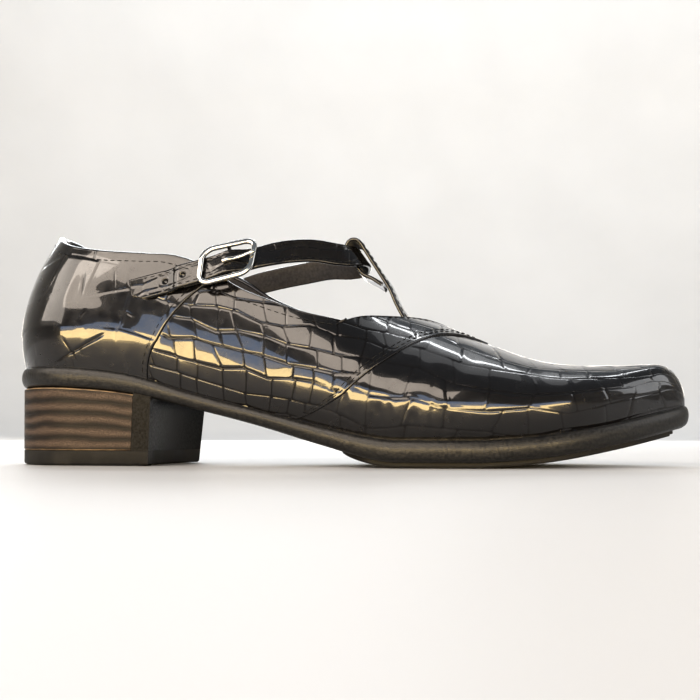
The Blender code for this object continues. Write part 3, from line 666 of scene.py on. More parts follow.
def section_table(side):
    x = np.linspace(UPPER_BACK, UPPER_TOE, SECTION_STEPS)
    across = last_point(side, x[:, None], np.linspace(0.0, 1.0, SECTION_POINTS)[None, :])[..., 1:]
    return lengths(np.swapaxes(across, 0, 1)).T


OUTLINES = {side: outline_table(side) for side in SIGN}
SECTIONS = {side: section_table(side) for side in SIGN}


def outline_length(side, x):
    """Length along the last's widest line in plan, from the heel to a station."""
    return np.interp(x, *OUTLINES[side])


def section_length(side, x, q):
    """Length up a section of the last, from the feather edge to the share q."""
    table = SECTIONS[side]
    fx = np.clip((x - UPPER_BACK) / (UPPER_TOE - UPPER_BACK), 0.0, 1.0) * (table.shape[0] - 1)
    fq = np.clip(q, 0.0, 1.0) * (table.shape[1] - 1)
    i = np.minimum(fx.astype(int), table.shape[0] - 2)
    j = np.minimum(fq.astype(int), table.shape[1] - 2)
    a = fx - i
    b = fq - j
    low = table[i, j] * (1 - a) + table[i + 1, j] * a
    high = table[i, j + 1] * (1 - a) + table[i + 1, j + 1] * a
    return low * (1 - b) + high * b


# A scale pattern: size along and up the shoe, fall of its edges, depth of its lines, its seed, how
# far it comes and goes in patches, and whether its rows are counted from the ridge
SCALE_COLUMNS = "length height depth line seed patchy from_ridge"
Scales = namedtuple("Scales", SCALE_COLUMNS, defaults=(0.0, False))
QUARTER_SCALES = Scales(8.6, 6.6, 0.038, 0.10, 11)
VAMP_SCALES = Scales(12.5, 9.0, 0.035, 0.06, 23, from_ridge=True)
COUNTER_SCALES = Scales(17.0, 13.0, 0.03, 0.05, 37, patchy=1.0)
STRAP_SCALES = Scales(6.0, 4.2, 0.05, 0.06, 53)
SCALE_EDGE = 1.1
LINE_WIDTH = 0.30
FULL_LINE = 0.10
CORNER_ROUND = 1.0
SCALE_TILT = 0.02

# Unevenness of rows and columns, in scales: random places and leans over slow bends
RANDOM_CELLS = 64
ROW_DRAW, COLUMN_DRAW, LEAN_DRAW, TILT_ALONG, TILT_UP = range(5)
ROW_WANDER = 0.24
COLUMN_SHIFT = 0.20
COLUMN_LEAN = 0.20
COLUMN_BEND = 0.25
COLUMN_BEND_ROWS = 1.7
COLUMN_BEND_TURN = 0.4
ROW_BEND = 0.20
ROW_BEND_COLUMNS = 2.3

# Slow waves of the leather and patches of the pattern: lengths in millimetres to a radian, starts
# and bends in radians
LEATHER_WAVE = 0.08
WAVE_ALONG = 4.7
WAVE_UP = 5.3
WAVE_SLANT = 17.0
WAVE_BEND = 1.7
WAVE_BEND_UP = 6.1
PATCH_MEAN = 0.5
PATCH_SWING = 0.9
PATCH_ALONG = 11.0
PATCH_UP = 8.0
PATCH_STARTS = (2.0, 0.6)
PATCH_SLANT = 0.03


def scale_borders(u, v, kind):
    """Distance to the nearest line between scales, and the height of each scale's own tilt."""
    draws = np.random.default_rng(kind.seed).uniform(-1, 1, (RANDOM_CELLS, RANDOM_CELLS, TILT_UP + 1))

    def drawn(i, j, k):
        return draws[i % RANDOM_CELLS, j % RANDOM_CELLS, k]

    across = u / kind.length
    upward = v / kind.height + ROW_BEND * np.sin(across / ROW_BEND_COLUMNS)
    bend = np.sin(v / kind.height / COLUMN_BEND_ROWS + COLUMN_BEND_TURN * across)
    across = across + COLUMN_BEND * bend
    cell = np.floor(across).astype(int)
    f = across - cell

    def row_line(j):
        wander = drawn(cell, j, ROW_DRAW) * (1 - f) + drawn(cell + 1, j, ROW_DRAW) * f
        return j + ROW_WANDER * wander

    row = np.floor(upward).astype(int)
    row = row - (upward < row_line(row))
    row = row + (upward >= row_line(row + 1))
    low = row_line(row)
    high = row_line(row + 1)
    t = (upward - low) / (high - low) - 0.5

    def column_line(i):
        return i + COLUMN_SHIFT * drawn(i, row, COLUMN_DRAW) + COLUMN_LEAN * drawn(i, row, LEAN_DRAW) * t

    column = cell - (across < column_line(cell))
    column = column + (across >= column_line(column + 1))
    left = column_line(column)
    right = column_line(column + 1)
    du = np.minimum(across - left, right - across) * kind.length
    dv = np.minimum(upward - low, high - upward) * kind.height
    rounded = CORNER_ROUND - np.hypot(CORNER_ROUND - du, CORNER_ROUND - dv)
    in_corner = (du < CORNER_ROUND) & (dv < CORNER_ROUND)
    border = np.maximum(np.where(in_corner, rounded, np.minimum(du, dv)), 0.0)
    lean_u = (across - (left + right) / 2) * kind.length * drawn(column, row, TILT_ALONG)
    lean_v = t * kind.height * drawn(column, row, TILT_UP)
    return border, SCALE_TILT * (lean_u + lean_v)


def relief(u, v, kind):
    """Height of embossed leather, low pillows parted by fine lines over slow waves, and its lines."""
    border, tilt = scale_borders(u, v, kind)
    edge = np.clip(border / SCALE_EDGE, 0.0, 1.0)
    pillow = kind.depth * (edge * (2 - edge) - 1)
    bend = WAVE_BEND * np.sin(v / WAVE_BEND_UP)
    wave = LEATHER_WAVE * np.sin(u / WAVE_ALONG + bend) * np.sin(v / WAVE_UP + u / WAVE_SLANT)
    patch_along = np.sin(u / PATCH_ALONG + PATCH_STARTS[0])
    patch_up = np.sin(v / PATCH_UP + PATCH_STARTS[1] + PATCH_SLANT * u)
    patches = PATCH_MEAN + PATCH_SWING * patch_along * patch_up
    strength = 1 - kind.patchy * (1 - np.clip(patches, 0.0, 1.0))
    line = np.exp(-((border / LINE_WIDTH) ** 2)) * strength
    height = (pillow + tilt * edge) * strength - kind.line * line + wave
    return height, line * min(1.0, kind.line / FULL_LINE)


# Creases worn or pressed into the leather: two ends (station, height), width, depth
Crease = namedtuple("Crease", "side x0 z0 x1 z1 width depth")
CREASES = [
    Crease("lateral", 48.0, 49.0, 25.0, 37.5, 0.55, 0.24),
    Crease("lateral", 30.0, 48.5, 37.0, 37.5, 0.45, 0.12),
    Crease("lateral", 36.0, 53.0, 39.5, 58.0, 0.45, 0.08),
    Crease("lateral", 54.0, 57.0, 59.0, 54.0, 0.45, 0.08),
    Crease("lateral", 37.0, 61.0, 36.0, 73.0, 0.45, 0.08),
    Crease("lateral", 50.0, 62.0, 48.5, 74.0, 0.45, 0.08),
    Crease("medial", 46.0, 52.0, 24.0, 41.0, 0.55, 0.20),
    Crease("lateral", 30.0, 67.0, 62.0, 58.0, 7.0, 0.30),
    Crease("lateral", 158.0, 14.0, 184.0, 42.0, 4.5, 0.32),
    Crease("medial", 154.0, 14.0, 182.0, 42.0, 4.5, 0.32),
    Crease("lateral", 147.0, 16.0, 168.0, 42.0, 4.0, 0.22),
    Crease("medial", 143.0, 16.0, 166.0, 42.0, 4.0, 0.22),
]
CREASE_FADE = 5.0
CREASE_FADE_SHARE = 0.4
THIN_CREASE = 0.6

# Small pleats where the vamp is drawn round the ball of the foot; the changes from pleat to pleat
# are their most and their turn in radians
PLEAT_PLACES = np.arange(133.0, 180.0, 4.3)
PLEAT_TUCK = 1.0
PLEAT_HEIGHT = 13.0
PLEAT_WIDTH = 1.0
PLEAT_DEPTH = 0.26
SWAY_CHANGE = (2.2, 2.4)
HEIGHT_CHANGE = (3.0, 1.7)
DEPTH_CHANGE = (0.10, 3.1)


def change(most_and_turn, number):
    """What is added to a size of one pleat, by its number."""
    most, turn = most_and_turn
    return most * math.sin(turn * number)


def pleats():
    """Upright creases of both sides, uneven in height, depth and lean."""
    made = []
    for number, place in enumerate(PLEAT_PLACES):
        foot = float(feather(place)) - PLEAT_TUCK
        top = foot + PLEAT_HEIGHT + change(HEIGHT_CHANGE, number)
        leaning = place + change(SWAY_CHANGE, number)
        depth = PLEAT_DEPTH + change(DEPTH_CHANGE, number)
        made += [Crease(side, place, foot, leaning, top, PLEAT_WIDTH, depth) for side in SIGN]
    return made


def creases(side, x, z):
    """Depth of one side's creases and pleats, and where the thin ones run."""
    depth = np.zeros(np.broadcast(x, z).shape)
    fold = np.zeros(depth.shape)
    for line in CREASES + pleats():
        if line.side != side:
            continue
        run = np.array([line.x1 - line.x0, line.z1 - line.z0])
        length = np.linalg.norm(run)
        along = ((x - line.x0) * run[0] + (z - line.z0) * run[1]) / length
        off = ((x - line.x0) * run[1] - (z - line.z0) * run[0]) / length
        fade = min(CREASE_FADE, CREASE_FADE_SHARE * length)
        ends = ease(along / fade) * ease((length - along) / fade)
        depth += line.depth * ends * np.exp(-((off / line.width) ** 2))
        if line.width < THIN_CREASE:
            fold = np.maximum(fold, ends * np.exp(-((off / LINE_WIDTH) ** 2)))
    return depth, fold


# Upper

# Panels: the ribs that bound them, points along and up them, panels beneath them, their scales,
# whether these fade at the first and the last rib, and the node that they replace
Panel = namedtuple("Panel", "name first last columns rows layer scales fade_first fade_last nodes")
PANELS = [
    Panel("vamp", VAMP_SEAM, UPPER_TOE, 298, 162, 0, VAMP_SCALES, True, False, ["upper"]),
    Panel("quarters", COUNTER_SEAM, VAMP_SEAM, 290, 160, 1, QUARTER_SCALES, True, True, []),
    Panel("heel_counter", UPPER_BACK, COUNTER_SEAM, 205, 118, 2, COUNTER_SCALES, False, True, []),
]
PANEL_WELD = 2e-5
EVEN_STEPS = 3000
FOOT_TUCK = 0.45
VAMP_GIRTH = 56.0
TOE_GIRTH = 28.0
EDGE_FADE = 2.2
LIP = 0.55
LIP_SINK = 0.2
LIP_STEPS = 6


def even_starts(side, first, last, count):
    """Feather stations of ribs that stand about evenly apart, foot and top taken together."""
    x = np.linspace(first, last, EVEN_STEPS)
    mean = (outline_length(side, x) + outline_length(side, rib_run(x, 1.0))) / 2
    return np.interp(np.linspace(mean[0], mean[-1], count), mean, x)


def panel(side, form):
    """Embossed panel of the upper between two ribs, turned down along its front edge."""
    start = even_starts(side, form.first, form.last, form.columns)[:, None]
    w = np.linspace(0.0, 1.0, form.rows)[None, :]
    base, normals = skin(side, start, w)
    run = rib_run(start, w)
    share = collar_share(side, rib_run(start, 1.0)) * w
    along = lengths(base)
    fade = np.ones(along.shape)
    if form.fade_first:
        fade = fade * ease(along / EDGE_FADE)
    if form.fade_last:
        fade = fade * ease((along[-1] - along) / EDGE_FADE)
    if form.scales.from_ridge:
        u = outline_length(side, run)
        v = SIGN[side] * (1 - share) * VAMP_GIRTH
        fade = fade * ease(section_length(side, run, 1.0) / TOE_GIRTH)
    else:
        u = SIGN[side] * outline_length(side, run)
        v = section_length(side, run, share)
    height, line = relief(u, v, form.scales)
    crease, fold = creases(side, run, base[..., 2])
    points = base + normals * (form.layer * SEAM_STEP + height * fade - crease)[..., None]
    groove = np.maximum(line * fade, fold)
    if form.layer:
        points = np.concatenate([points, lip(points, normals)])
    foot = points[:, :1].copy()
    foot[..., 2] -= FOOT_TUCK
    groove = np.pad(groove, ((0, len(points) - len(groove)), (1, 0)))
    return Net(np.concatenate([foot, points], axis=1), flip=side == "lateral", groove=groove)


def lip(points, normals):
    """Rounded turn at a panel's front edge, down to the panel beneath."""
    ahead = unit(points[-1] - points[-3])
    drop = normals[-1] * (SEAM_STEP + LIP_SINK)
    turns = np.linspace(0.0, math.pi / 2, LIP_STEPS)[1:]
    return np.stack([points[-1] + ahead * LIP * math.sin(a) - drop * (1 - math.cos(a)) for a in turns])


def upper():
    for form in PANELS:
        nets = [panel(side, form) for side in SIGN]
        piece(form.name, nets, [PATENT], form.nodes, PANEL_WELD)


LINING_DEPTH = WALL - 0.05
LINING_TOE = UPPER_TOE - 0.4
LINING_COLUMNS = 150
LINING_ROWS = 40
LINING_WELD = 4e-5


def lining():
    nets = []
    for side in SIGN:
        start = even_starts(side, UPPER_BACK, LINING_TOE, LINING_COLUMNS)[:, None]
        base, normals = skin(side, start, np.linspace(0.0, 1.0, LINING_ROWS)[None, :])
        nets.append(Net(base - normals * LINING_DEPTH, flip=side == "medial"))
    piece("upper_lining", nets, [LINING], weld=LINING_WELD)


# Folded topline: its turn goes past a half circle by the overlap in radians, at both ends
LAYER_EASE = 2.0
FOLD_OVERLAP = 0.25
FOLD_TURNS = 14
FOLD_COLUMNS = 260
FOLD_AIM = 0.97
FOLD_HEIGHT = 0.75
FOLD_COVER = 0.06
FOLD_WELD = 3e-5


def collar_layers(start):
    """Thickness of the panels outside the last, along the collar."""
    return SEAM_STEP * (1 + ease((COUNTER_SEAM + LAYER_EASE / 2 - start) / LAYER_EASE))


def topline_fold():
    """Edge of the collar, rolled over from the outside to the lining."""
    nets = []
    turns = np.linspace(-FOLD_OVERLAP, math.pi + FOLD_OVERLAP, FOLD_TURNS)[None, :, None]
    for side in SIGN:
        start = even_starts(side, UPPER_BACK, THROAT_RIB, FOLD_COLUMNS)
        base, normals = skin(side, start, 1.0)
        below, _ = skin(side, start, FOLD_AIM)
        upward = unit(base - below)
        outside = collar_layers(start)[:, None]
        middle = base + normals * (outside - WALL) / 2
        radius = ((outside + WALL) / 2)[:, None]
        roll = normals[:, None] * np.cos(turns) + upward[:, None] * np.sin(turns) * FOLD_HEIGHT
        nets.append(Net(middle[:, None] + roll * (radius + FOLD_COVER), flip=side == "lateral"))
    piece("topline_fold", nets, [PATENT], weld=FOLD_WELD)


# Stitching

STITCH = 2.1
STITCH_PITCH = 2.9
STITCH_BOW = 0.08
STITCH_RINGS = 7
STITCH_SIDES = 6
THREAD_RADIUS = 0.15
THREAD_END = 0.02
THREAD_WELD = 1e-7

# Rows of stitches beside a seam: its rib, the panels beneath them, the share of the rib where they
# end, their distances from the seam, and how much of these is left where the ribs stand closer
SeamRows = namedtuple("SeamRows", "seam layer top insets spread")
SEAM_ROWS = [
    SeamRows(COUNTER_SEAM, 2, 0.93, (1.5,), 0.9),
    SeamRows(VAMP_SEAM, 1, 0.985, (1.5, 3.3), 0.5),
]
SEAM_FOOT = 0.04
SEAM_TOP = 0.95
SEAM_POINTS = 240
COLLAR_START = UPPER_BACK + 1.5
COLLAR_END = THROAT_RIB - 1.0
COLLAR_INSET = 3.0
COLLAR_POINTS = 600


def stitch_row(points, normals):
    """Net for each stitch on a line that lies on a surface."""
    run = lengths(points)
    angles = np.linspace(0.0, 2 * math.pi, STITCH_SIDES, endpoint=False)
    nets = []

    def sample(values, at):
        return np.stack([np.interp(at, run, values[:, k]) for k in range(3)], axis=-1)

    for place in np.arange(STITCH_PITCH / 2, run[-1] - STITCH_PITCH / 2, STITCH_PITCH):
        ends = sample(points, np.array([place - STITCH / 2, place + STITCH / 2]))
        along = unit(ends[1] - ends[0])
        out = unit(sample(normals, place))
        aside = np.cross(along, out)
        rings = []
        for t in np.linspace(-1.0, 1.0, STITCH_RINGS):
            centre = ends.mean(axis=0) + along * t * STITCH / 2 + out * STITCH_BOW * (1 - t * t)
            radius = THREAD_RADIUS * math.sqrt(max(1 - t**4, THREAD_END))
            rings.append([centre + radius * (aside * math.cos(a) + out * math.sin(a)) for a in angles])
        nets.append(Net(closed_ends(np.array(rings)), wrap=True))
    return nets


def upper_stitches():
    nets = []
    rise = np.linspace(SEAM_FOOT, SEAM_TOP, SEAM_POINTS)
    collar = np.linspace(COLLAR_START, COLLAR_END, COLLAR_POINTS)
    for side in SIGN:
        for rows in SEAM_ROWS:
            for inset in rows.insets:
                points, normals = skin(side, rows.seam - inset * rows.spread, rise * rows.top / SEAM_TOP)
                nets += stitch_row(points + normals * rows.layer * SEAM_STEP, normals)
        top = rib_run(collar, 1.0)
        below = 1 - COLLAR_INSET / section_length(side, top, collar_share(side, top))
        points, normals = skin(side, collar, below)
        nets += stitch_row(points + normals * collar_layers(collar)[:, None], normals)
    piece("upper_stitches", nets, [THREAD], weld=THREAD_WELD)


# Sole

SOLE_STATIONS = 300
RIM_STEPS = 22
SHANK_STEPS = 14
LEDGE_STEPS = 8


def rim_lines(side):
    """Lines along the rim of one side, from its top to its foot."""
    profile = np.linspace(0.0, 1.0, RIM_STEPS)
    lines = []
    for inset, drop in zip(smooth(RIM_PROFILE, "inset", profile), smooth(RIM_PROFILE, "drop", profile)):
        x = stations(SOLE_STATIONS, inset)
        height = smooth(LAST, "rim", x) - (arch(x) if side == "medial" else 0.0)
        y = SIGN[side] * half_width(side, x, inset)
        lines.append(np.stack([x, y, feather(x) - drop * height], axis=1))
    return lines


def between(first, second, steps):
    """Lines evenly between two lines, without these."""
    return [first * (1 - share) + second * share for share in np.linspace(0.0, 1.0, steps)[1:-1]]


def sole_rim():
    """Moulded slab: round rim, flat ledge under the upper and smooth shank."""
    outer = rim_lines("lateral")
    inner = rim_lines("medial")[::-1]
    shank = between(outer[-1], inner[0], SHANK_STEPS)
    ledge = between(inner[-1], outer[0], LEDGE_STEPS)
    rings = np.stack(outer + shank + inner + ledge, axis=1)
    piece("outsole_slab", [Net(rings, wrap=True, flip=True)], [RUBBER], ["outsole"])


# Heel

def taper(foot, top, z):
    """A size that changes evenly up the heel, at a height."""
    return foot + (top - foot) * z / HEEL_TAPER_HEIGHT


def heel_rear(z):
    return taper(HEEL_REAR_FOOT, HEEL_INSET_TOP, z)


def heel_half_width(side, x, z, depth):
    base = smooth(LAST, side, x) - taper(HEEL_INSET_FOOT, HEEL_INSET_TOP, z) - depth
    return base * end_round(x - HEEL_BACK - heel_rear(z) - depth, HEEL_REACH)


def breast(z):
    return taper(BREAST_FOOT, BREAST_TOP, z)


def heel_back(z, front, depth, count):
    """Plan of the heel from its outer side round the back to its inner side.

    The height z and the depth may vary along it.
    """
    turn = np.linspace(-1.0, 1.0, 2 * count - 1)
    start = HEEL_BACK + heel_rear(z) + depth
    x = start + (front - start) * (1 - np.cos(turn * math.pi / 2))
    outer = -heel_half_width("lateral", x, z, depth)
    inner = heel_half_width("medial", x, z, depth)
    return np.stack([x, np.where(turn < 0, outer, inner)], axis=1)


def breast_line(z, count, flare=0.0):
    """Hollow front of the heel at a height, from its inner corner to its outer corner."""
    x = breast(z)
    inner = heel_half_width("medial", x, z, 0.0)
    y = np.linspace(inner, -heel_half_width("lateral", x, z, 0.0), count)
    bow = 1 - (2 * np.linspace(0.0, 1.0, count) - 1) ** 2
    return np.stack([x + BREAST_SKEW * y - BREAST_HOLLOW * bow + flare * np.sqrt(bow), y], axis=1)


def at_height(plan, z):
    return np.column_stack([plan, np.full(len(plan), z)])


CORE_FOOT = TOP_PIECE_HEIGHT - 0.2
CORE_STEPS = 40
CORE_POINTS = 30
CORE_BREAST_POINTS = 41
CORE_RECESS = STACK_THICKNESS - 0.6


def heel_core():
    """Black heel moulding with its frame strip and hollow breast, eased into the shank."""
    rings = []
    shank = float(rim_bottom(BREAST_TOP))
    for z in np.linspace(CORE_FOOT, HEEL_CORE_TOP, CORE_STEPS):
        front = breast(z) - FRAME_STRIP
        rise = np.clip((z - shank + BREAST_FILLET) / BREAST_FILLET, 0.0, 1.0)
        line = breast_line(z, CORE_BREAST_POINTS, BREAST_FILLET * (1 - math.sqrt(1 - rise**2)))
        recess = heel_back(z, front, CORE_RECESS, CORE_POINTS)
        flush = heel_back(z, front, 0.0, CORE_POINTS)
        plan = np.concatenate([line[-1:], flush[:1], recess, flush[-1:], line[:-1]])
        rings.append(at_height(plan, z))
    rings = closed_ends(np.array(rings))
    piece("heel_core", [Net(rings, wrap=True)], [HEEL_RUBBER], sharp=35)


STACK_ROWS = 106
STACK_POINTS = 80
STACK_CLEAR = 0.08
STACK_SWAY = 0.08
LAYER_PROUD = 0.05
LAYER_FLATNESS = 8
# Pale rows at the stack's top and bottom edges: a lighter tan that is partly a painted highlight on the
# bevel
PALE_SHARE = 0.015
PALE_EASE = 0.02
PALE_ROUND = 0.35 * STACK_THICKNESS
PALE_ROWS = 3

# Waves of the layers' joints: share of the sway, length along the heel, turn up the stack
JOINT_WAVES = ((1.0, 8.5, 4.0), (0.6, 3.7, -9.0))


def layer_at(run, share):
    """Layers counted up the stack: their joints wander along it, but not at its edges."""
    sway = sum(part * np.sin(run / length + turn * share) for part, length, turn in JOINT_WAVES)
    return share * STACK_LAYERS + STACK_SWAY * sway * math.sin(math.pi * share)


def heel_stack():
    """Band of stacked layers, each a little proud between its joints, with pale edges whose light tan is
    partly a painted highlight.
    """
    low = TOP_PIECE_HEIGHT
    front_top = float(rim_bottom(BREAST_TOP - FRAME_STRIP)) - GAP
    rings = []
    flats = []
    for share in np.linspace(0.0, 1.0, STACK_ROWS):
        front = breast(low + (front_top - low) * share) - FRAME_STRIP - STACK_CLEAR
        foot = heel_back(low, front, 0.0, STACK_POINTS)
        run = lengths(foot)
        z = low + (rim_bottom(foot[:, 0]) - low) * share
        layer = layer_at(run, share)
        proud = LAYER_PROUD * (1 - (2 * (layer % 1.0) - 1) ** LAYER_FLATNESS)
        edge = PALE_ROUND * ease((abs(share - 0.5) - 0.5 + PALE_SHARE) / PALE_EASE)
        outside = np.column_stack([heel_back(z, front, edge - proud, STACK_POINTS), z])
        inside = np.column_stack([heel_back(z, front, STACK_THICKNESS, STACK_POINTS), z])
        rings.append(np.concatenate([inside[:1], outside, inside[-1:]]))
        flat = np.stack([run, layer], axis=1)
        flats.append(np.concatenate([flat[:1], flat, flat[-1:]]))
    rings = np.array(rings)
    flats = np.array(flats)
    overlap = PALE_ROWS - 1
    nets = [
        Net(rings[overlap:-overlap], flat=flats[overlap:-overlap]),
        Net(rings[:PALE_ROWS], look=1),
        Net(rings[-PALE_ROWS:], look=1),
    ]
    piece("stacked_heel", nets, [STACK, STACK_EDGE_AND_HIGHLIGHT], ["heel_stack"], sharp=50)


# Ridges under the sole

# Section of a ridge: share of its width from its middle, share of its depth above its crest
RIDGE_SECTION = ((-0.5, 1.0), (-0.3, 0.0), (0.3, 0.0), (0.5, 1.0))
RIDGE_STEP = 4.0
SHORTEST_RIDGE = 1.0


def crossings(outline, place, aim):
    """Stretches of a straight line that lie inside a closed outline, as pairs of distances."""
    across = np.array([-aim[1], aim[0]])
    off = (outline - place) @ across
    along = (outline - place) @ aim
    found = []
    for i in range(len(outline)):
        k = (i + 1) % len(outline)
        if (off[i] < 0) != (off[k] < 0):
            t = off[i] / (off[i] - off[k])
            found.append(along[i] + (along[k] - along[i]) * t)
    found.sort()
    return list(zip(found[::2], found[1::2]))


def ridge(ends, aim, width, height_at, depth):
    """Net of one low ridge, narrower at its crest, which is the lower side."""
    count = max(3, int(np.linalg.norm(ends[1] - ends[0]) / RIDGE_STEP) + 2)
    line = ends[0] + (ends[1] - ends[0]) * np.linspace(0.0, 1.0, count)[:, None]
    across = np.array([-aim[1], aim[0]])
    rows = []
    for place, rise in RIDGE_SECTION:
        spot = line + across * width * place
        rows.append(np.column_stack([spot, height_at(spot[:, 0]) + depth * rise]))
    return Net(closed_ends(np.stack(rows, axis=1)), wrap=True, flip=True)


def ridges(outline, angle, pitch, width, height_at, depth):
    """Parallel ridges that fill an outline."""
    aim = np.array([math.cos(angle), math.sin(angle)])
    across = np.array([-aim[1], aim[0]])
    offsets = outline @ across
    nets = []
    for offset in np.arange(offsets.min() + pitch / 2, offsets.max(), pitch):
        for start, end in crossings(outline, across * offset, aim):
            if end - start > SHORTEST_RIDGE:
                ends = (across * offset + aim * start, across * offset + aim * end)
                nets.append(ridge(ends, aim, width, height_at, depth))
    return nets


def drawn_in(outline, inset):
    """A closed outline moved inward."""
    along = unit(np.roll(outline, -1, axis=0) - np.roll(outline, 1, axis=0))
    inward = np.stack([-along[:, 1], along[:, 0]], axis=1)
    if np.sum((outline.mean(axis=0) - outline) * inward) < 0:
        inward = -inward
    return outline + inward * inset


def wall_ring(outline, width, depth):
    """Low wall that follows a closed outline, with a ridge's section."""
    rows = []
    for place, rise in RIDGE_SECTION:
        plan = drawn_in(outline, width * (place + 0.5))
        rows.append(np.column_stack([plan, lift(plan[:, 0]) + depth * rise]))
    return Net(np.array(rows), wrap=True, flip=True)


# Heel tip, by rings from its top to its ribbed field
TIP_RIDGE_DEPTH = 0.4
TipRing = namedtuple("TipRing", "z inset")
TIP_RINGS = [
    TipRing(TOP_PIECE_HEIGHT, 0.3),
    TipRing(TOP_PIECE_HEIGHT - 0.3, 0.0),
    TipRing(1.0, 0.0),
    TipRing(0.35, 0.2),
    TipRing(0.0, 0.8),
    TipRing(0.0, 3.4),
    TipRing(TIP_RIDGE_DEPTH, 3.8),
]
TIP_BREAST_POINTS = 31
TIP_BACK_POINTS = 60
TIP_FIELD = 3.6
TIP_RIDGE_ANGLE = math.radians(62)
TIP_RIDGE_PITCH = 1.5
TIP_RIDGE_WIDTH = 1.2


def tip_outline(z):
    line = breast_line(z, TIP_BREAST_POINTS)
    back = heel_back(z, breast(z), 0.0, TIP_BACK_POINTS)
    return np.concatenate([line[-1:], back[1:-1], line[:-1]])


def heel_tip():
    """Top piece: smooth wall, flat border and a ribbed field within it."""
    rings = [at_height(drawn_in(tip_outline(ring.z), ring.inset), ring.z) for ring in TIP_RINGS]
    field = drawn_in(tip_outline(TIP_RIDGE_DEPTH), TIP_FIELD)
    nets = [Net(closed_ends(np.array(rings)), wrap=True, flip=True)]
    on_floor = np.zeros_like
    nets += ridges(field, TIP_RIDGE_ANGLE, TIP_RIDGE_PITCH, TIP_RIDGE_WIDTH, on_floor, TIP_RIDGE_DEPTH)
    piece("heel_tip", nets, [TREAD], ["heel_top_piece"], sharp=40)


# Forefoot tread: a plate with walls, ribs across its border, hatched fields and smooth bars
TREAD_RIB_DEPTH = 0.55
TREAD_BORDER = 7.0
TREAD_START = TREAD_REAR + 1.2
TREAD_END = TREAD_FRONT - 0.8
REAR_EASE = 0.8
SLANT_ROUNDS = 3
PLATE_INSET = 0.3
PLATE_POINTS = 40
PLATE_STEPS = 200
TreadWall = namedtuple("TreadWall", "inset width")
TREAD_WALLS = (TreadWall(0.4, 1.0), TreadWall(TREAD_BORDER, 1.1))
TREAD_WALL_TOE = 1.6
TREAD_WALL_STEPS = 160
BORDER_START = TREAD_START + 1.4
BORDER_END = TREAD_END - 2.0
BORDER_INSETS = (1.4, TREAD_BORDER - 0.6)
BORDER_STEPS = 300
BORDER_FIRST = 1.0
BORDER_PITCH = 1.25
TREAD_RIB_WIDTH = 0.85
HATCH_INSET = TREAD_BORDER + 1.2
HATCH_STEPS = 40
HATCH_ANGLE = math.radians(38)
HATCH_PITCH = 1.15
FIELD_CUTS = (TREAD_START + TREAD_BORDER + 1.0, *TREAD_GROOVES, TREAD_END - 2.2 * TREAD_BORDER)
TREAD_BAR_INSET = 1.0
TREAD_BAR_ROOM = GROOVE_WIDTH / 2 + 0.6


def tread_slant(x):
    return -SLANT - SLANT_GROWTH * (x - TREAD_GROOVES[0])


def tread_line(x, inset, shares):
    """Plan points across the tread along its slant, at shares from the outer to the inner edge."""
    ends = []
    for side in SIGN:
        reach = half_width(side, x, TREAD_INSET)
        for _ in range(SLANT_ROUNDS):
            there = x + tread_slant(x) * SIGN[side] * reach
            round_end = end_round(x - TREAD_REAR + REAR_EASE - inset, TREAD_ROUND)
            reach = half_width(side, there, TREAD_INSET + inset) * round_end
        ends.append(SIGN[side] * reach)
    y = ends[0] + (ends[1] - ends[0]) * shares
    return np.stack([x + tread_slant(x) * y, y], axis=-1)


def tread_outline(first, last, inset, count):
    x = np.linspace(first, last, count)
    outer = np.array([tread_line(s, inset, np.array(0.0)) for s in x])
    inner = np.array([tread_line(s, inset, np.array(1.0)) for s in x])
    return np.concatenate([outer, inner[::-1]])


def clear_of_bars(spot):
    """Whether a plan point of the tread lies clear of its smooth bars."""
    return all(abs(spot[0] - x - tread_slant(x) * spot[1]) > TREAD_BAR_ROOM for x in TREAD_GROOVES)


def tread_plate():
    """Plate that carries the ribs, up to the sole."""
    shares = np.linspace(0.0, 1.0, PLATE_POINTS)
    low = []
    for x in TREAD_REAR + (TREAD_FRONT - TREAD_REAR) * ease(np.linspace(0.0, 1.0, PLATE_STEPS)):
        plan = tread_line(x, PLATE_INSET, shares)
        low.append(np.column_stack([plan, lift(plan[:, 0]) + TREAD_RIB_DEPTH]))
    low = np.array(low)
    high = low.copy()
    high[..., 2] += TREAD_THICKNESS - TREAD_RIB_DEPTH + GAP
    return Net(np.concatenate([low, high[:, ::-1]], axis=1), wrap=True)


def tread_walls():
    """Walls round the tread and round its hatched fields."""
    nets = []
    for wall in TREAD_WALLS:
        first = TREAD_START + wall.inset
        last = TREAD_END - wall.inset * TREAD_WALL_TOE
        edge = tread_outline(first, last, wall.inset, TREAD_WALL_STEPS)
        nets.append(wall_ring(edge, wall.width, TREAD_RIB_DEPTH))
    return nets


def border_ribs():
    """Short ribs across the tread's border, left out beside the bars."""
    edges = [tread_outline(BORDER_START, BORDER_END, inset, BORDER_STEPS) for inset in BORDER_INSETS]
    run = lengths(edges[0])
    nets = []
    for place in np.arange(BORDER_FIRST, run[-1], BORDER_PITCH):
        ends = np.array([[np.interp(place, run, edge[:, k]) for k in range(2)] for edge in edges])
        if clear_of_bars(ends.mean(axis=0)):
            nets.append(ridge(ends, unit(ends[1] - ends[0]), TREAD_RIB_WIDTH, lift, TREAD_RIB_DEPTH))
    return nets


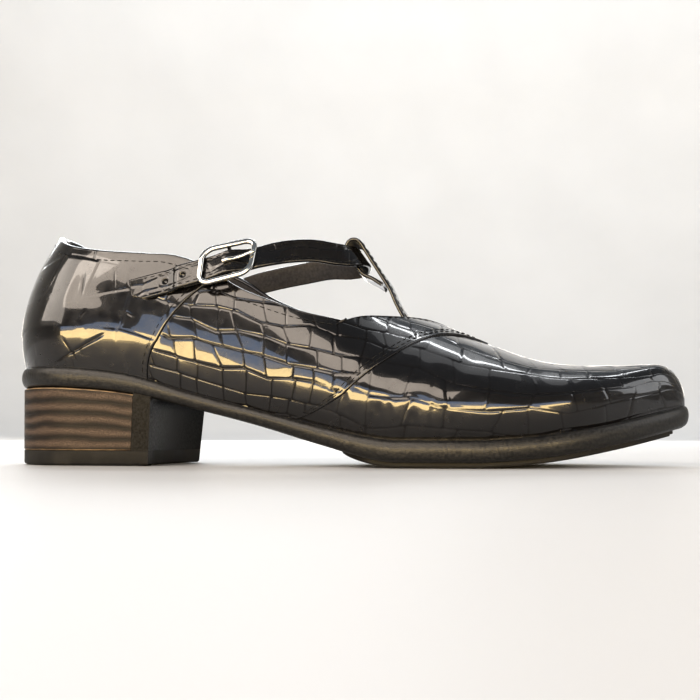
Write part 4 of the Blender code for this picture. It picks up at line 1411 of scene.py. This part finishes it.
def hatched_fields():
    """Fields of slanting ribs, with a smooth bar between each two."""
    nets = []
    for start, end in zip(FIELD_CUTS, FIELD_CUTS[1:]):
        field = tread_outline(start + TREAD_BAR_ROOM, end - TREAD_BAR_ROOM, HATCH_INSET, HATCH_STEPS)
        nets += ridges(field, HATCH_ANGLE, HATCH_PITCH, TREAD_RIB_WIDTH, lift, TREAD_RIB_DEPTH)
        if start in TREAD_GROOVES:
            bar = tread_line(start, TREAD_BAR_INSET, np.array([0.0, 1.0]))
            nets.append(ridge(bar, unit(bar[1] - bar[0]), GROOVE_WIDTH, lift, TREAD_RIB_DEPTH))
    return nets


def forefoot_tread():
    nets = [tread_plate(), *tread_walls(), *border_ribs(), *hatched_fields()]
    piece("forefoot_tread_pad", nets, [TREAD], ["forefoot_tread"], sharp=40)


INSOLE_STATIONS = 120
INSOLE_POINTS = 41
INSOLE_TOE_REACH = TOE_REACH * 0.6
INSOLE_DISH = 0.5
INSOLE_EDGE = 0.5
INSOLE_EDGE_POWER = 12


def insole():
    """Sock over the insole: a little dished, with a round edge."""
    x = stations(INSOLE_STATIONS, INSOLE_INSET)
    x = x * (TOE_TIP - INSOLE_TOE) / x[-1]
    shrink = end_round(TOE_TIP - INSOLE_TOE - x, INSOLE_TOE_REACH)
    ends = {side: half_width(side, x, INSOLE_INSET) * shrink for side in SIGN}
    low = feather(x) + GAP
    lines = []
    for share in np.linspace(-1.0, 1.0, INSOLE_POINTS):
        width = ends["lateral"] if share < 0 else ends["medial"]
        fall = INSOLE_DISH * (1 - share**2) + INSOLE_EDGE * abs(share) ** INSOLE_EDGE_POWER
        lines.append(np.stack([x, share * width, low + INSOLE_THICKNESS - fall], axis=1))
    for side in ("medial", "lateral"):
        lines.append(np.stack([x, SIGN[side] * ends[side], low], axis=1))
    rings = np.stack(lines, axis=1)
    piece("insole_sock", [Net(rings, wrap=True)], [LINING], ["insole"], sharp=60)


# Straps

FACE_POINTS = 30
STRIP_EDGE_POINTS = 7
STRIP_EDGE_RADIUS = 0.42
STRIP_FADE = 1.6
STRIP_RELIEF = 0.8
STRIP_PATTERN_START = 40.0


def through(points, count):
    """Evenly spaced rows on a smooth curve through the given rows of numbers."""
    points = np.array(points, float)
    knots = lengths(points[:, :3])
    t = np.linspace(0.0, knots[-1], count)
    return np.stack([curve(knots, column, t) for column in points.T], axis=1)


def section_of(width, thickness, count):
    """Round-edged section of a strip: places across it and through it, outer face first."""
    radius = thickness * STRIP_EDGE_RADIUS
    across = np.linspace(-width / 2 + radius, width / 2 - radius, count)
    turn = np.linspace(math.pi / 2, -math.pi / 2, STRIP_EDGE_POINTS + 2)[1:-1]
    right = np.stack([width / 2 - radius + radius * np.cos(turn), thickness / 2 * np.sin(turn)], axis=1)
    outer = np.stack([across, np.full(count, thickness / 2)], axis=1)
    inner = np.stack([across[::-1], np.full(count, -thickness / 2)], axis=1)
    left = right[::-1] * (-1.0, 1.0)
    return np.concatenate([outer, right, inner, left])


def strip(path, side, width, thickness, count, kind=None, tip=None):
    """Rings of a strip along a path, its outer face embossed where a pattern is given."""
    along = unit(np.gradient(path, axis=0))
    normal = unit(np.cross(side, along))
    side = unit(np.cross(along, normal))
    section = section_of(width, thickness, count)
    run = lengths(path)
    rings = []
    for i in range(len(path)):
        a = section[:, 0].copy()
        b = section[:, 1].copy()
        if kind:
            near_edge = ease((width / 2 - abs(a[:count])) / STRIP_FADE)
            height, _ = relief(np.full(count, run[i]), a[:count] + STRIP_PATTERN_START, kind)
            b[:count] += height * near_edge * STRIP_RELIEF
        if tip is not None:
            a = np.maximum(a, -width / 2 + tip[i])
        rings.append(path[i] + side[i] * a[:, None] + normal[i] * b[:, None])
    return np.array(rings), normal, side


def two_faced(name, rings, nodes):
    """Strip of patent leather with lining on its inner face."""
    outer_end = FACE_POINTS + STRIP_EDGE_POINTS
    outer = np.concatenate([rings[:, -STRIP_EDGE_POINTS:], rings[:, :outer_end]], axis=1)
    inner = rings[:, outer_end - 1 : outer_end + FACE_POINTS + 1]
    ends = []
    for ring in (rings[:1], rings[-1:]):
        middle = np.repeat(ring.mean(axis=1, keepdims=True), rings.shape[1], axis=1)
        ends.append(Net(np.concatenate([ring, middle]), wrap=True, flip=len(ends) == 1))
    piece(name, [Net(outer), Net(inner, look=1), *ends], [PATENT, LINING], nodes)


# Route of the T-bar: stations under the throat, places (x, z) from there to the loop, and places
# up the loop before its turn, after it, and at its folded end, with how far that stands back
BAR_TUCKED = (187.0, 182.0, 177.0, 172.0, 167.0, 162.5, BAR_EMERGES)
BAR_RISE = ((155.2, 57.6), (152.6, 62.2))
LOOP_FRONT = (-16.5, -11.0, -5.0, 0.0)
LOOP_REAR = (-2.0, -6.6)
LOOP_END = ((-10.4, 1.6), (-13.6, 0.0))
LOOP_TURN_POINTS = 9
LOOP_UP = np.array([-math.cos(LOOP_SLOPE), 0.0, math.sin(LOOP_SLOPE)])
LOOP_OUT = np.array([math.sin(LOOP_SLOPE), 0.0, math.cos(LOOP_SLOPE)])
LOOP_MEETS = LOOP_HALF_GAP - BAR_THICKNESS - GAP - 0.15
BAR_DEPTH = WALL + GAP + BAR_THICKNESS / 2 + 0.5
BAR_STEPS = 240
BAR_SAG = 0.35
SHARE_STEPS = 200


def share_near(x, y):
    """Share up the outer side of a section where it is y from the middle."""
    shares = np.linspace(0.5, 1.0, SHARE_STEPS)
    found = last_point("lateral", np.full(SHARE_STEPS, x), shares)[:, 1]
    return float(np.interp(y, found, shares))


def bar_path():
    centre = np.array(LOOP_CENTRE)
    path = [(x, 0.0, float(smooth(LAST, "ridge", x)) - BAR_DEPTH) for x in BAR_TUCKED]
    path += [(x, 0.0, z) for x, z in BAR_RISE]
    path += [centre + LOOP_OUT * LOOP_HALF_GAP + LOOP_UP * t for t in LOOP_FRONT]
    for angle in np.linspace(0.0, math.pi, LOOP_TURN_POINTS):
        turn = LOOP_OUT * math.cos(angle) + LOOP_UP * math.sin(angle)
        path.append(centre + LOOP_UP * LOOP_TURN + turn * LOOP_HALF_GAP)
    path += [centre - LOOP_OUT * LOOP_HALF_GAP + LOOP_UP * t for t in LOOP_REAR]
    path += [centre + LOOP_OUT * (LOOP_MEETS - back) + LOOP_UP * t for t, back in LOOP_END]
    return through(path, BAR_STEPS)


def t_bar():
    """Strip from under the throat to a loop folded back at its top."""
    path = bar_path()
    x = path[:, 0]
    side = np.tile([0.0, 1.0, 0.0], (len(path), 1))
    rings, normal, side = strip(path, side, BAR_WIDTH, BAR_THICKNESS, FACE_POINTS, STRAP_SCALES)
    rounding = np.clip((x - BAR_FREE) / (BAR_EMERGES - BAR_FREE), 0.0, 1.0)
    leather = np.maximum(x, BAR_EMERGES)
    edge = np.array([last_point("lateral", s, share_near(s, -BAR_WIDTH / 2))[2] for s in leather])
    sag = (smooth(LAST, "ridge", leather) - edge + BAR_SAG) * rounding
    share = rings[..., 1] / (BAR_WIDTH / 2)
    rings[..., 2] -= sag[:, None] * share**2
    two_faced("t_bar_strap", rings, ["t_bar"])
    return path, normal, side, sag


# How the strap's middle stands off the leather: over the tab, ahead of the buckle, over its bar
TAB_RAMP = 5.0
AHEAD_DROP = 1.3
AHEAD_RUN = 9.0
OVER_BAR_RUN = 4.2
TAB_CENTRE = GAP + TAB_LAYER
STRAP_CLEAR = GAP + STRAP_THICKNESS / 2
ON_TAB = 2 * TAB_LAYER + 2 * GAP + STRAP_THICKNESS / 2
OVER_BAR = TAB_CENTRE + BAR_WIRE + GAP + TAB_LAYER + STRAP_CLEAR

# Height gained for each millimetre across the strap, on the sloping leather
STRAP_RISE = 0.88


def strap_spot(side, s, w, n):
    """Point near the counter: s back along the strap, w up across it, n out from the leather."""
    z = BUCKLE_Z - STRAP_SLOPE * np.asarray(s, float) + np.asarray(w, float) * STRAP_RISE
    return on_last(side, BUCKLE_X - s, z, 2 * SEAM_STEP + n)


def strap_height(s):
    """How far the strap's middle stands off the leather along the buckle and its tail."""
    base = STRAP_CLEAR + (ON_TAB - STRAP_CLEAR) * ease((TAB_LENGTH + TAB_RAMP - s) / TAB_RAMP)
    base = base - AHEAD_DROP * ease(-s / AHEAD_RUN)
    return base + (OVER_BAR - ON_TAB) * math.exp(-((s / OVER_BAR_RUN) ** 2))


def ribbon_row(side, s, n, rise):
    low = strap_spot(side, s, rise - 1.0, n)
    high = strap_spot(side, s, rise + 1.0, n)
    return (*((low + high) / 2), *unit(high - low))


# Route of the strap: places along the inner quarter, then free places from the loop's centre with
# the direction across the strap, then the stretch from ahead of the buckle to the tail's tip
INNER_PLACES = (24.0, 17.0, 10.0, 3.0)
INNER_RISE = 3.0
FreePlace = namedtuple("FreePlace", "x y z across")
FREE_PLACES = [
    FreePlace(-27.0, 23.0, -0.8, (0.05, -0.25, 0.95)),
    FreePlace(-16.0, 18.8, 0.0, (-0.1, -0.15, 0.95)),
    FreePlace(-7.0, 14.6, -0.9, (-0.35, -0.05, 0.9)),
    FreePlace(-1.9, 10.8, -0.9, LOOP_UP),
    FreePlace(-0.3, 6.5, -0.2, LOOP_UP),
    FreePlace(-0.3, -6.5, -0.2, LOOP_UP),
    FreePlace(-1.9, -10.8, -0.9, LOOP_UP),
    FreePlace(-7.0, -14.6, -0.9, (-0.35, 0.05, 0.9)),
    FreePlace(-16.0, -18.8, 0.0, (-0.1, 0.15, 0.95)),
    FreePlace(-24.5, -22.6, -0.9, (0.05, 0.25, 0.95)),
]
BUCKLED_START = -10.0
BUCKLED_POINTS = 24
STRAP_STEPS = 520
TAIL_TIP_LENGTH = 5.4
TAIL_TIP_SLOPE = 0.5
HOLE_PLACES = (9.0, 16.0, 23.0)
HOLE_RADIUS = 0.6
HOLE_EDGE = 0.5
HOLE_DEPTH = 0.9


def ankle_strap():
    """Ribbon from the inner quarter through the loop, over the buckle's bar and back."""
    rows = [ribbon_row("medial", s, STRAP_CLEAR, INNER_RISE) for s in INNER_PLACES]
    for free in FREE_PLACES:
        place = np.array(LOOP_CENTRE) + (free.x, free.y, free.z)
        rows.append((*place, *unit(np.array(free.across))))
    for s in np.linspace(BUCKLED_START, TAIL_LENGTH, BUCKLED_POINTS):
        rows.append(ribbon_row("lateral", s, strap_height(s), 0.0))
    route = through(rows, STRAP_STEPS)
    path = route[:, :3]
    run = lengths(path)
    tip = TAIL_TIP_SLOPE * np.maximum(0.0, run - run[-1] + TAIL_TIP_LENGTH)
    rings, normal, side = strip(
        path, route[:, 3:], STRAP_WIDTH, STRAP_THICKNESS, FACE_POINTS, STRAP_SCALES, tip
    )
    face = rings[:, :FACE_POINTS]
    for place in HOLE_PLACES:
        spot = strap_spot("lateral", place, 0.0, strap_height(place) + STRAP_THICKNESS / 2)
        near = np.linalg.norm(face - spot, axis=-1)
        dent = HOLE_DEPTH * (1 - ease((near - HOLE_RADIUS) / HOLE_EDGE))
        face -= normal[:, None] * dent[..., None]
    two_faced("ankle_strap_band", rings, ["ankle_strap"])
    return path, normal, side


BAR_ROW = BAR_WIDTH / 2 - 1.7
BAR_STITCHED = slice(70, 190)
STRAP_ROW = STRAP_WIDTH / 2 - 1.3
STRAP_ROW_HEIGHT = STRAP_THICKNESS / 2 - 0.05
STRAP_STITCHED = slice(6, 505)


def strap_stitches(bar, strap):
    nets = []
    path, normal, side, sag = bar
    for edge in (-1, 1):
        line = path + side * edge * BAR_ROW + normal * (BAR_THICKNESS / 2)
        line[:, 2] -= sag * (BAR_ROW / (BAR_WIDTH / 2)) ** 2
        nets += stitch_row(line[BAR_STITCHED], normal[BAR_STITCHED])
    path, normal, side = strap
    for edge in (-1, 1):
        line = path + side * edge * STRAP_ROW + normal * STRAP_ROW_HEIGHT
        nets += stitch_row(line[STRAP_STITCHED], normal[STRAP_STITCHED])
    piece("strap_stitches", nets, [THREAD], weld=THREAD_WELD)


TAB_SLACK = 0.02
TAB_MOUTH = 0.8
TAB_TRIM = 0.05
TAB_LEG_POINTS = 24
TAB_TURN_POINTS = 40
TAB_FACE_POINTS = 16


def buckle_tab():
    """Folded strip round the buckle's bar, its ends together on the counter."""
    radius = BAR_WIRE + GAP + TAB_LAYER / 2
    half = TAB_LAYER / 2 + TAB_SLACK
    mouth = math.asin(half / radius)
    leg = np.linspace(TAB_LENGTH, radius + TAB_MOUTH, TAB_LEG_POINTS)
    profile = [(s, TAB_CENTRE - half) for s in leg]
    for a in np.linspace(2 * math.pi - mouth, mouth, TAB_TURN_POINTS):
        profile.append((radius * math.cos(a), TAB_CENTRE + radius * math.sin(a)))
    profile += [(s, TAB_CENTRE + half) for s in leg[::-1]]
    path = np.array([strap_spot("lateral", s, 0.0, n) for s, n in profile])
    low = np.array([strap_spot("lateral", s, -1.0, n) for s, n in profile])
    high = np.array([strap_spot("lateral", s, 1.0, n) for s, n in profile])
    rings, *_ = strip(path, unit(high - low), TAB_WIDTH, TAB_LAYER - TAB_TRIM, TAB_FACE_POINTS)
    net = Net(closed_ends(rings), wrap=True)
    piece("buckle_tab_fold", [net], [PATENT], ["buckle_tab"], sharp=60)


# Buckle

WIRE_SIDES = 18
FLAT_WIRE = 2.6
ROUND_WIRE = 2.0
FRAME_WIDE = 1.05
FRAME_DEEP = 0.85
FRAME_CLEAR = 0.2
CORNER_POINTS = 16
CORNERS = ((1, 1), (-1, 1), (-1, -1), (1, -1))
BUCKLE_BAR_POINTS = 60

# Crank at an end of the frame's bar, outermost first: places past the frame's middle line, and
# heights as a share of the way from the tab up to the frame, with what is added
CrankPoint = namedtuple("CrankPoint", "reach share rise")
BUCKLE_BAR_CRANK = [
    CrankPoint(0.3, 1.0, 0.0),
    CrankPoint(-0.2, 1.0, -0.4),
    CrankPoint(-0.7, 0.5, 0.0),
    CrankPoint(-1.2, 0.0, 0.2),
    CrankPoint(-1.8, 0.0, 0.0),
]

# Prong: its places along the strap and off its root or its tip, and how it narrows
PIN_RADIUS = 0.7
PIN_ROOT = ((1.2, -0.5), (0.0, -0.2), (-3.0, -0.7), (-6.0, -0.6))
PIN_TIP = ((0.0, 0.0), (-1.2, -0.1))
PIN_POINTS = 50
PIN_TAPER = (0.78, 0.5)
PIN_END = (0.95, 0.85, 0.65, 0.35)
PIN_FLATNESS = 0.85


def wire(path, out, wide, deep, closed_path=False, power=FLAT_WIRE):
    """Rings of a wire with a rounded flat section: wide in the buckle's plane, deep out of it."""
    path = np.array(path)
    if closed_path:
        along = np.roll(path, -1, axis=0) - np.roll(path, 1, axis=0)
    else:
        along = np.gradient(path, axis=0)
    along = unit(along)
    flat = unit(np.cross(along, out))
    rise = unit(np.cross(flat, along))
    angles = np.linspace(0.0, 2 * math.pi, WIRE_SIDES, endpoint=False)
    across, upward = (np.sign(c) * abs(c) ** (2 / power) for c in (np.cos(angles), np.sin(angles)))
    wide = np.broadcast_to(wide, len(path))[:, None, None]
    deep = np.broadcast_to(deep, len(path))[:, None, None]
    spread_flat = flat[:, None] * across[None, :, None] * wide
    spread_up = rise[:, None] * upward[None, :, None] * deep
    return path[:, None] + spread_flat + spread_up


def buckle_spot(s, w, n):
    return strap_spot("lateral", s, w, n)


def buckle_out():
    return buckle_spot(0.0, 0.0, 1.0) - buckle_spot(0.0, 0.0, 0.0)


def frame_height(s):
    """How far the frame's middle stands off the leather: it lies on the strap at both its ends."""
    back = strap_height(BUCKLE_LENGTH / 2 - WIRE) + STRAP_CLEAR + WIRE
    ahead = strap_height(WIRE - BUCKLE_LENGTH / 2) + STRAP_CLEAR + WIRE
    return ahead + (back - ahead) * (s + BUCKLE_LENGTH / 2) / BUCKLE_LENGTH + FRAME_CLEAR


def buckle_frame():
    """Polished frame and its bar, which is cranked down at both ends to lie in the tab."""
    half_length = BUCKLE_LENGTH / 2 - WIRE
    half_height = BUCKLE_HEIGHT / 2 - WIRE
    path = []
    for quarter, (along, up) in enumerate(CORNERS):
        for angle in np.linspace(0.0, math.pi / 2, CORNER_POINTS) + quarter * math.pi / 2:
            s = along * (half_length - BUCKLE_CORNER) + BUCKLE_CORNER * math.cos(angle)
            w = up * (half_height - BUCKLE_CORNER) + BUCKLE_CORNER * math.sin(angle)
            path.append(buckle_spot(s, w, frame_height(s)))
    rings = wire(path, buckle_out(), FRAME_WIDE, FRAME_DEEP, True)
    rings = np.concatenate([rings, rings[:1]])
    climb = frame_height(0.0) - TAB_CENTRE
    upper_end = []
    for point in BUCKLE_BAR_CRANK:
        upper_end.append((half_height + point.reach, TAB_CENTRE + climb * point.share + point.rise))
    spots = [(-w, n) for w, n in upper_end] + upper_end[::-1]
    bar_line = through([buckle_spot(0.0, w, n) for w, n in spots], BUCKLE_BAR_POINTS)
    back = buckle_spot(1.0, 0.0, 0.0) - buckle_spot(0.0, 0.0, 0.0)
    bar = wire(bar_line, back, BAR_WIRE, BAR_WIRE, power=ROUND_WIRE)
    nets = [Net(rings, wrap=True), Net(closed_ends(bar), wrap=True)]
    piece("buckle_frame_wire", nets, [SILVER], ["buckle_frame"])


def buckle_prong():
    """Pin from the bar over the strap and the frame's front."""
    front = WIRE - BUCKLE_LENGTH / 2
    root = strap_height(0.0) + STRAP_CLEAR + PIN_RADIUS
    over = frame_height(front) + WIRE + GAP + PIN_RADIUS
    rows = [(s, root + rise) for s, rise in PIN_ROOT]
    rows += [(front + s, over + rise) for s, rise in PIN_TIP]
    path = through([buckle_spot(s, 0.0, n) for s, n in rows], PIN_POINTS)
    taper_radius = np.linspace(*PIN_TAPER, PIN_POINTS)
    taper_radius[-len(PIN_END) :] *= np.array(PIN_END)
    pin = wire(path, buckle_out(), taper_radius, taper_radius * PIN_FLATNESS)
    piece("buckle_pin", [Net(closed_ends(pin), wrap=True)], [SILVER], ["buckle_prong"])


# Stage, in metres

FLOOR_RADIUS = 1.9
FLOOR_FLAT = FLOOR_RADIUS - 0.05
STAGE_BEND = 1.4
STAGE_TOP = 3.0
BEND_STEPS = 24
FLOOR_SIDES = 96
FLOOR_DROP = 0.0002


def stage():
    """Pale round floor that turns up into a wall on all sides, open at the top."""
    tones = [(0.3, (0.505, 0.505, 0.505)), (0.7, (0.535, 0.535, 0.535))]
    made = finish("pale_floor", (0.52, 0.52, 0.52), 0.55, [Grain(3, 4), Grain(900, 3, 0.02, 0.2)], tones)
    turns = np.linspace(0.0, math.pi / 2, BEND_STEPS)
    bend_radius = FLOOR_RADIUS + STAGE_BEND * np.sin(turns)
    radius = np.concatenate([[0.0, FLOOR_FLAT], bend_radius, [FLOOR_RADIUS + STAGE_BEND]])[:, None]
    height = np.concatenate([[0.0, 0.0], STAGE_BEND - STAGE_BEND * np.cos(turns), [STAGE_TOP]])[:, None]
    angles = np.linspace(0.0, 2 * math.pi, FLOOR_SIDES, endpoint=False)
    z = height - FLOOR_DROP + 0 * angles
    points = np.stack([radius * np.cos(angles), radius * np.sin(angles), z], axis=-1)
    faces = net_faces(len(radius), len(angles), True, False)
    mesh = bpy.data.meshes.new("floor")
    mesh.from_pydata(points.reshape(-1, 3).tolist(), [], faces.tolist())
    mesh.shade_smooth()
    mesh.materials.append(made)
    floor = bpy.data.objects.new("floor", mesh)
    bpy.context.scene.collection.objects.link(floor)


# Lights: flat boxes, each turned towards a point
SHOE = (0.0, 0.0, 0.04)
BACK_WALL = (0.0, 3.2, 0.9)
Softbox = namedtuple("Softbox", "name place aim width height colour brightness")
SOFTBOXES = [
    Softbox("overhead", (-0.1, 0.45, 1.7), SHOE, 1.5, 1.2, (0.98, 0.99, 1.0), 0.8),
    Softbox("low_gold", (0.1, -1.8, 0.125), SHOE, 3.4, 0.25, (1.0, 0.74, 0.36), 21.0),
    Softbox("cool_strip", (0.1, -1.8, 0.40), SHOE, 3.4, 0.28, (0.42, 0.55, 0.80), 4.6),
    Softbox("warm_grey", (-0.55, -1.5, 1.1), SHOE, 1.6, 0.65, (1.0, 0.87, 0.75), 6.5),
    Softbox("heel_grey", (-1.6, -0.95, 1.05), SHOE, 1.3, 0.65, (1.0, 0.90, 0.80), 5.0),
    Softbox("side", (1.3, -0.2, 0.6), SHOE, 0.5, 0.9, (0.95, 0.97, 1.0), 3.0),
    Softbox("backdrop", (0.0, 1.3, 2.6), BACK_WALL, 2.6, 0.7, (0.96, 0.98, 1.0), 10.0),
    Softbox("inner_low", (0.0, 1.7, 0.24), SHOE, 2.8, 0.2, (1.0, 0.92, 0.82), 2.5),
    Softbox("inner_high", (-0.7, 1.35, 0.9), SHOE, 1.5, 0.5, (0.92, 0.96, 1.0), 5.0),
]
SKY_COLOUR = (0.82, 0.91, 1.0, 1.0)
SKY_STRENGTH = 0.28


def lights():
    world = bpy.data.worlds.new("studio")
    world.use_nodes = True
    background = world.node_tree.nodes["Background"]
    background.inputs["Color"].default_value = SKY_COLOUR
    background.inputs["Strength"].default_value = SKY_STRENGTH
    bpy.context.scene.world = world
    for box in SOFTBOXES:
        light = bpy.data.lights.new(box.name, "AREA")
        light.shape = "RECTANGLE"
        light.size = box.width
        light.size_y = box.height
        light.color = box.colour
        light.energy = box.brightness * math.pi * box.width * box.height
        obj = bpy.data.objects.new(box.name, light)
        obj.location = box.place
        obj.rotation_euler = (Vector(box.aim) - Vector(box.place)).to_track_quat("-Z", "Y").to_euler()
        bpy.context.scene.collection.objects.link(obj)


# Camera: turned round the shoe as in the photo, as low as the floor allows; sensor in millimetres
CAMERA_TURN = math.radians(9.2)
CAMERA_DISTANCE = 0.349
CAMERA_HEIGHT = 0.011
CAMERA_AIM = (0.004, 0.0, 0.044)
CAMERA_NEAR = 0.005
SENSOR = 36.0
FOCAL_PIXELS = 900.0
PHOTO_PIXELS = 700.0


def camera():
    data = bpy.data.cameras.new("camera")
    data.sensor_width = SENSOR
    data.lens = FOCAL_PIXELS / PHOTO_PIXELS * SENSOR
    data.clip_start = CAMERA_NEAR
    obj = bpy.data.objects.new("camera", data)
    aim = Vector(CAMERA_AIM)
    flat = math.sqrt(CAMERA_DISTANCE**2 - (CAMERA_AIM[2] - CAMERA_HEIGHT) ** 2)
    obj.location = aim + Vector((flat * math.sin(CAMERA_TURN), -flat * math.cos(CAMERA_TURN), 0.0))
    obj.location.z = CAMERA_HEIGHT
    obj.rotation_euler = (aim - obj.location).to_track_quat("-Z", "Y").to_euler()
    bpy.context.scene.collection.objects.link(obj)
    bpy.context.scene.camera = obj


def main():
    upper()
    lining()
    topline_fold()
    upper_stitches()
    sole_rim()
    heel_core()
    heel_stack()
    heel_tip()
    forefoot_tread()
    insole()
    bar = t_bar()
    strap = ankle_strap()
    strap_stitches(bar, strap)
    buckle_tab()
    buckle_frame()
    buckle_prong()
    stage()
    lights()
    camera()
    bpy.context.scene.view_settings.view_transform = "Standard"
    bpy.context.scene.view_settings.look = "Medium High Contrast"


main()
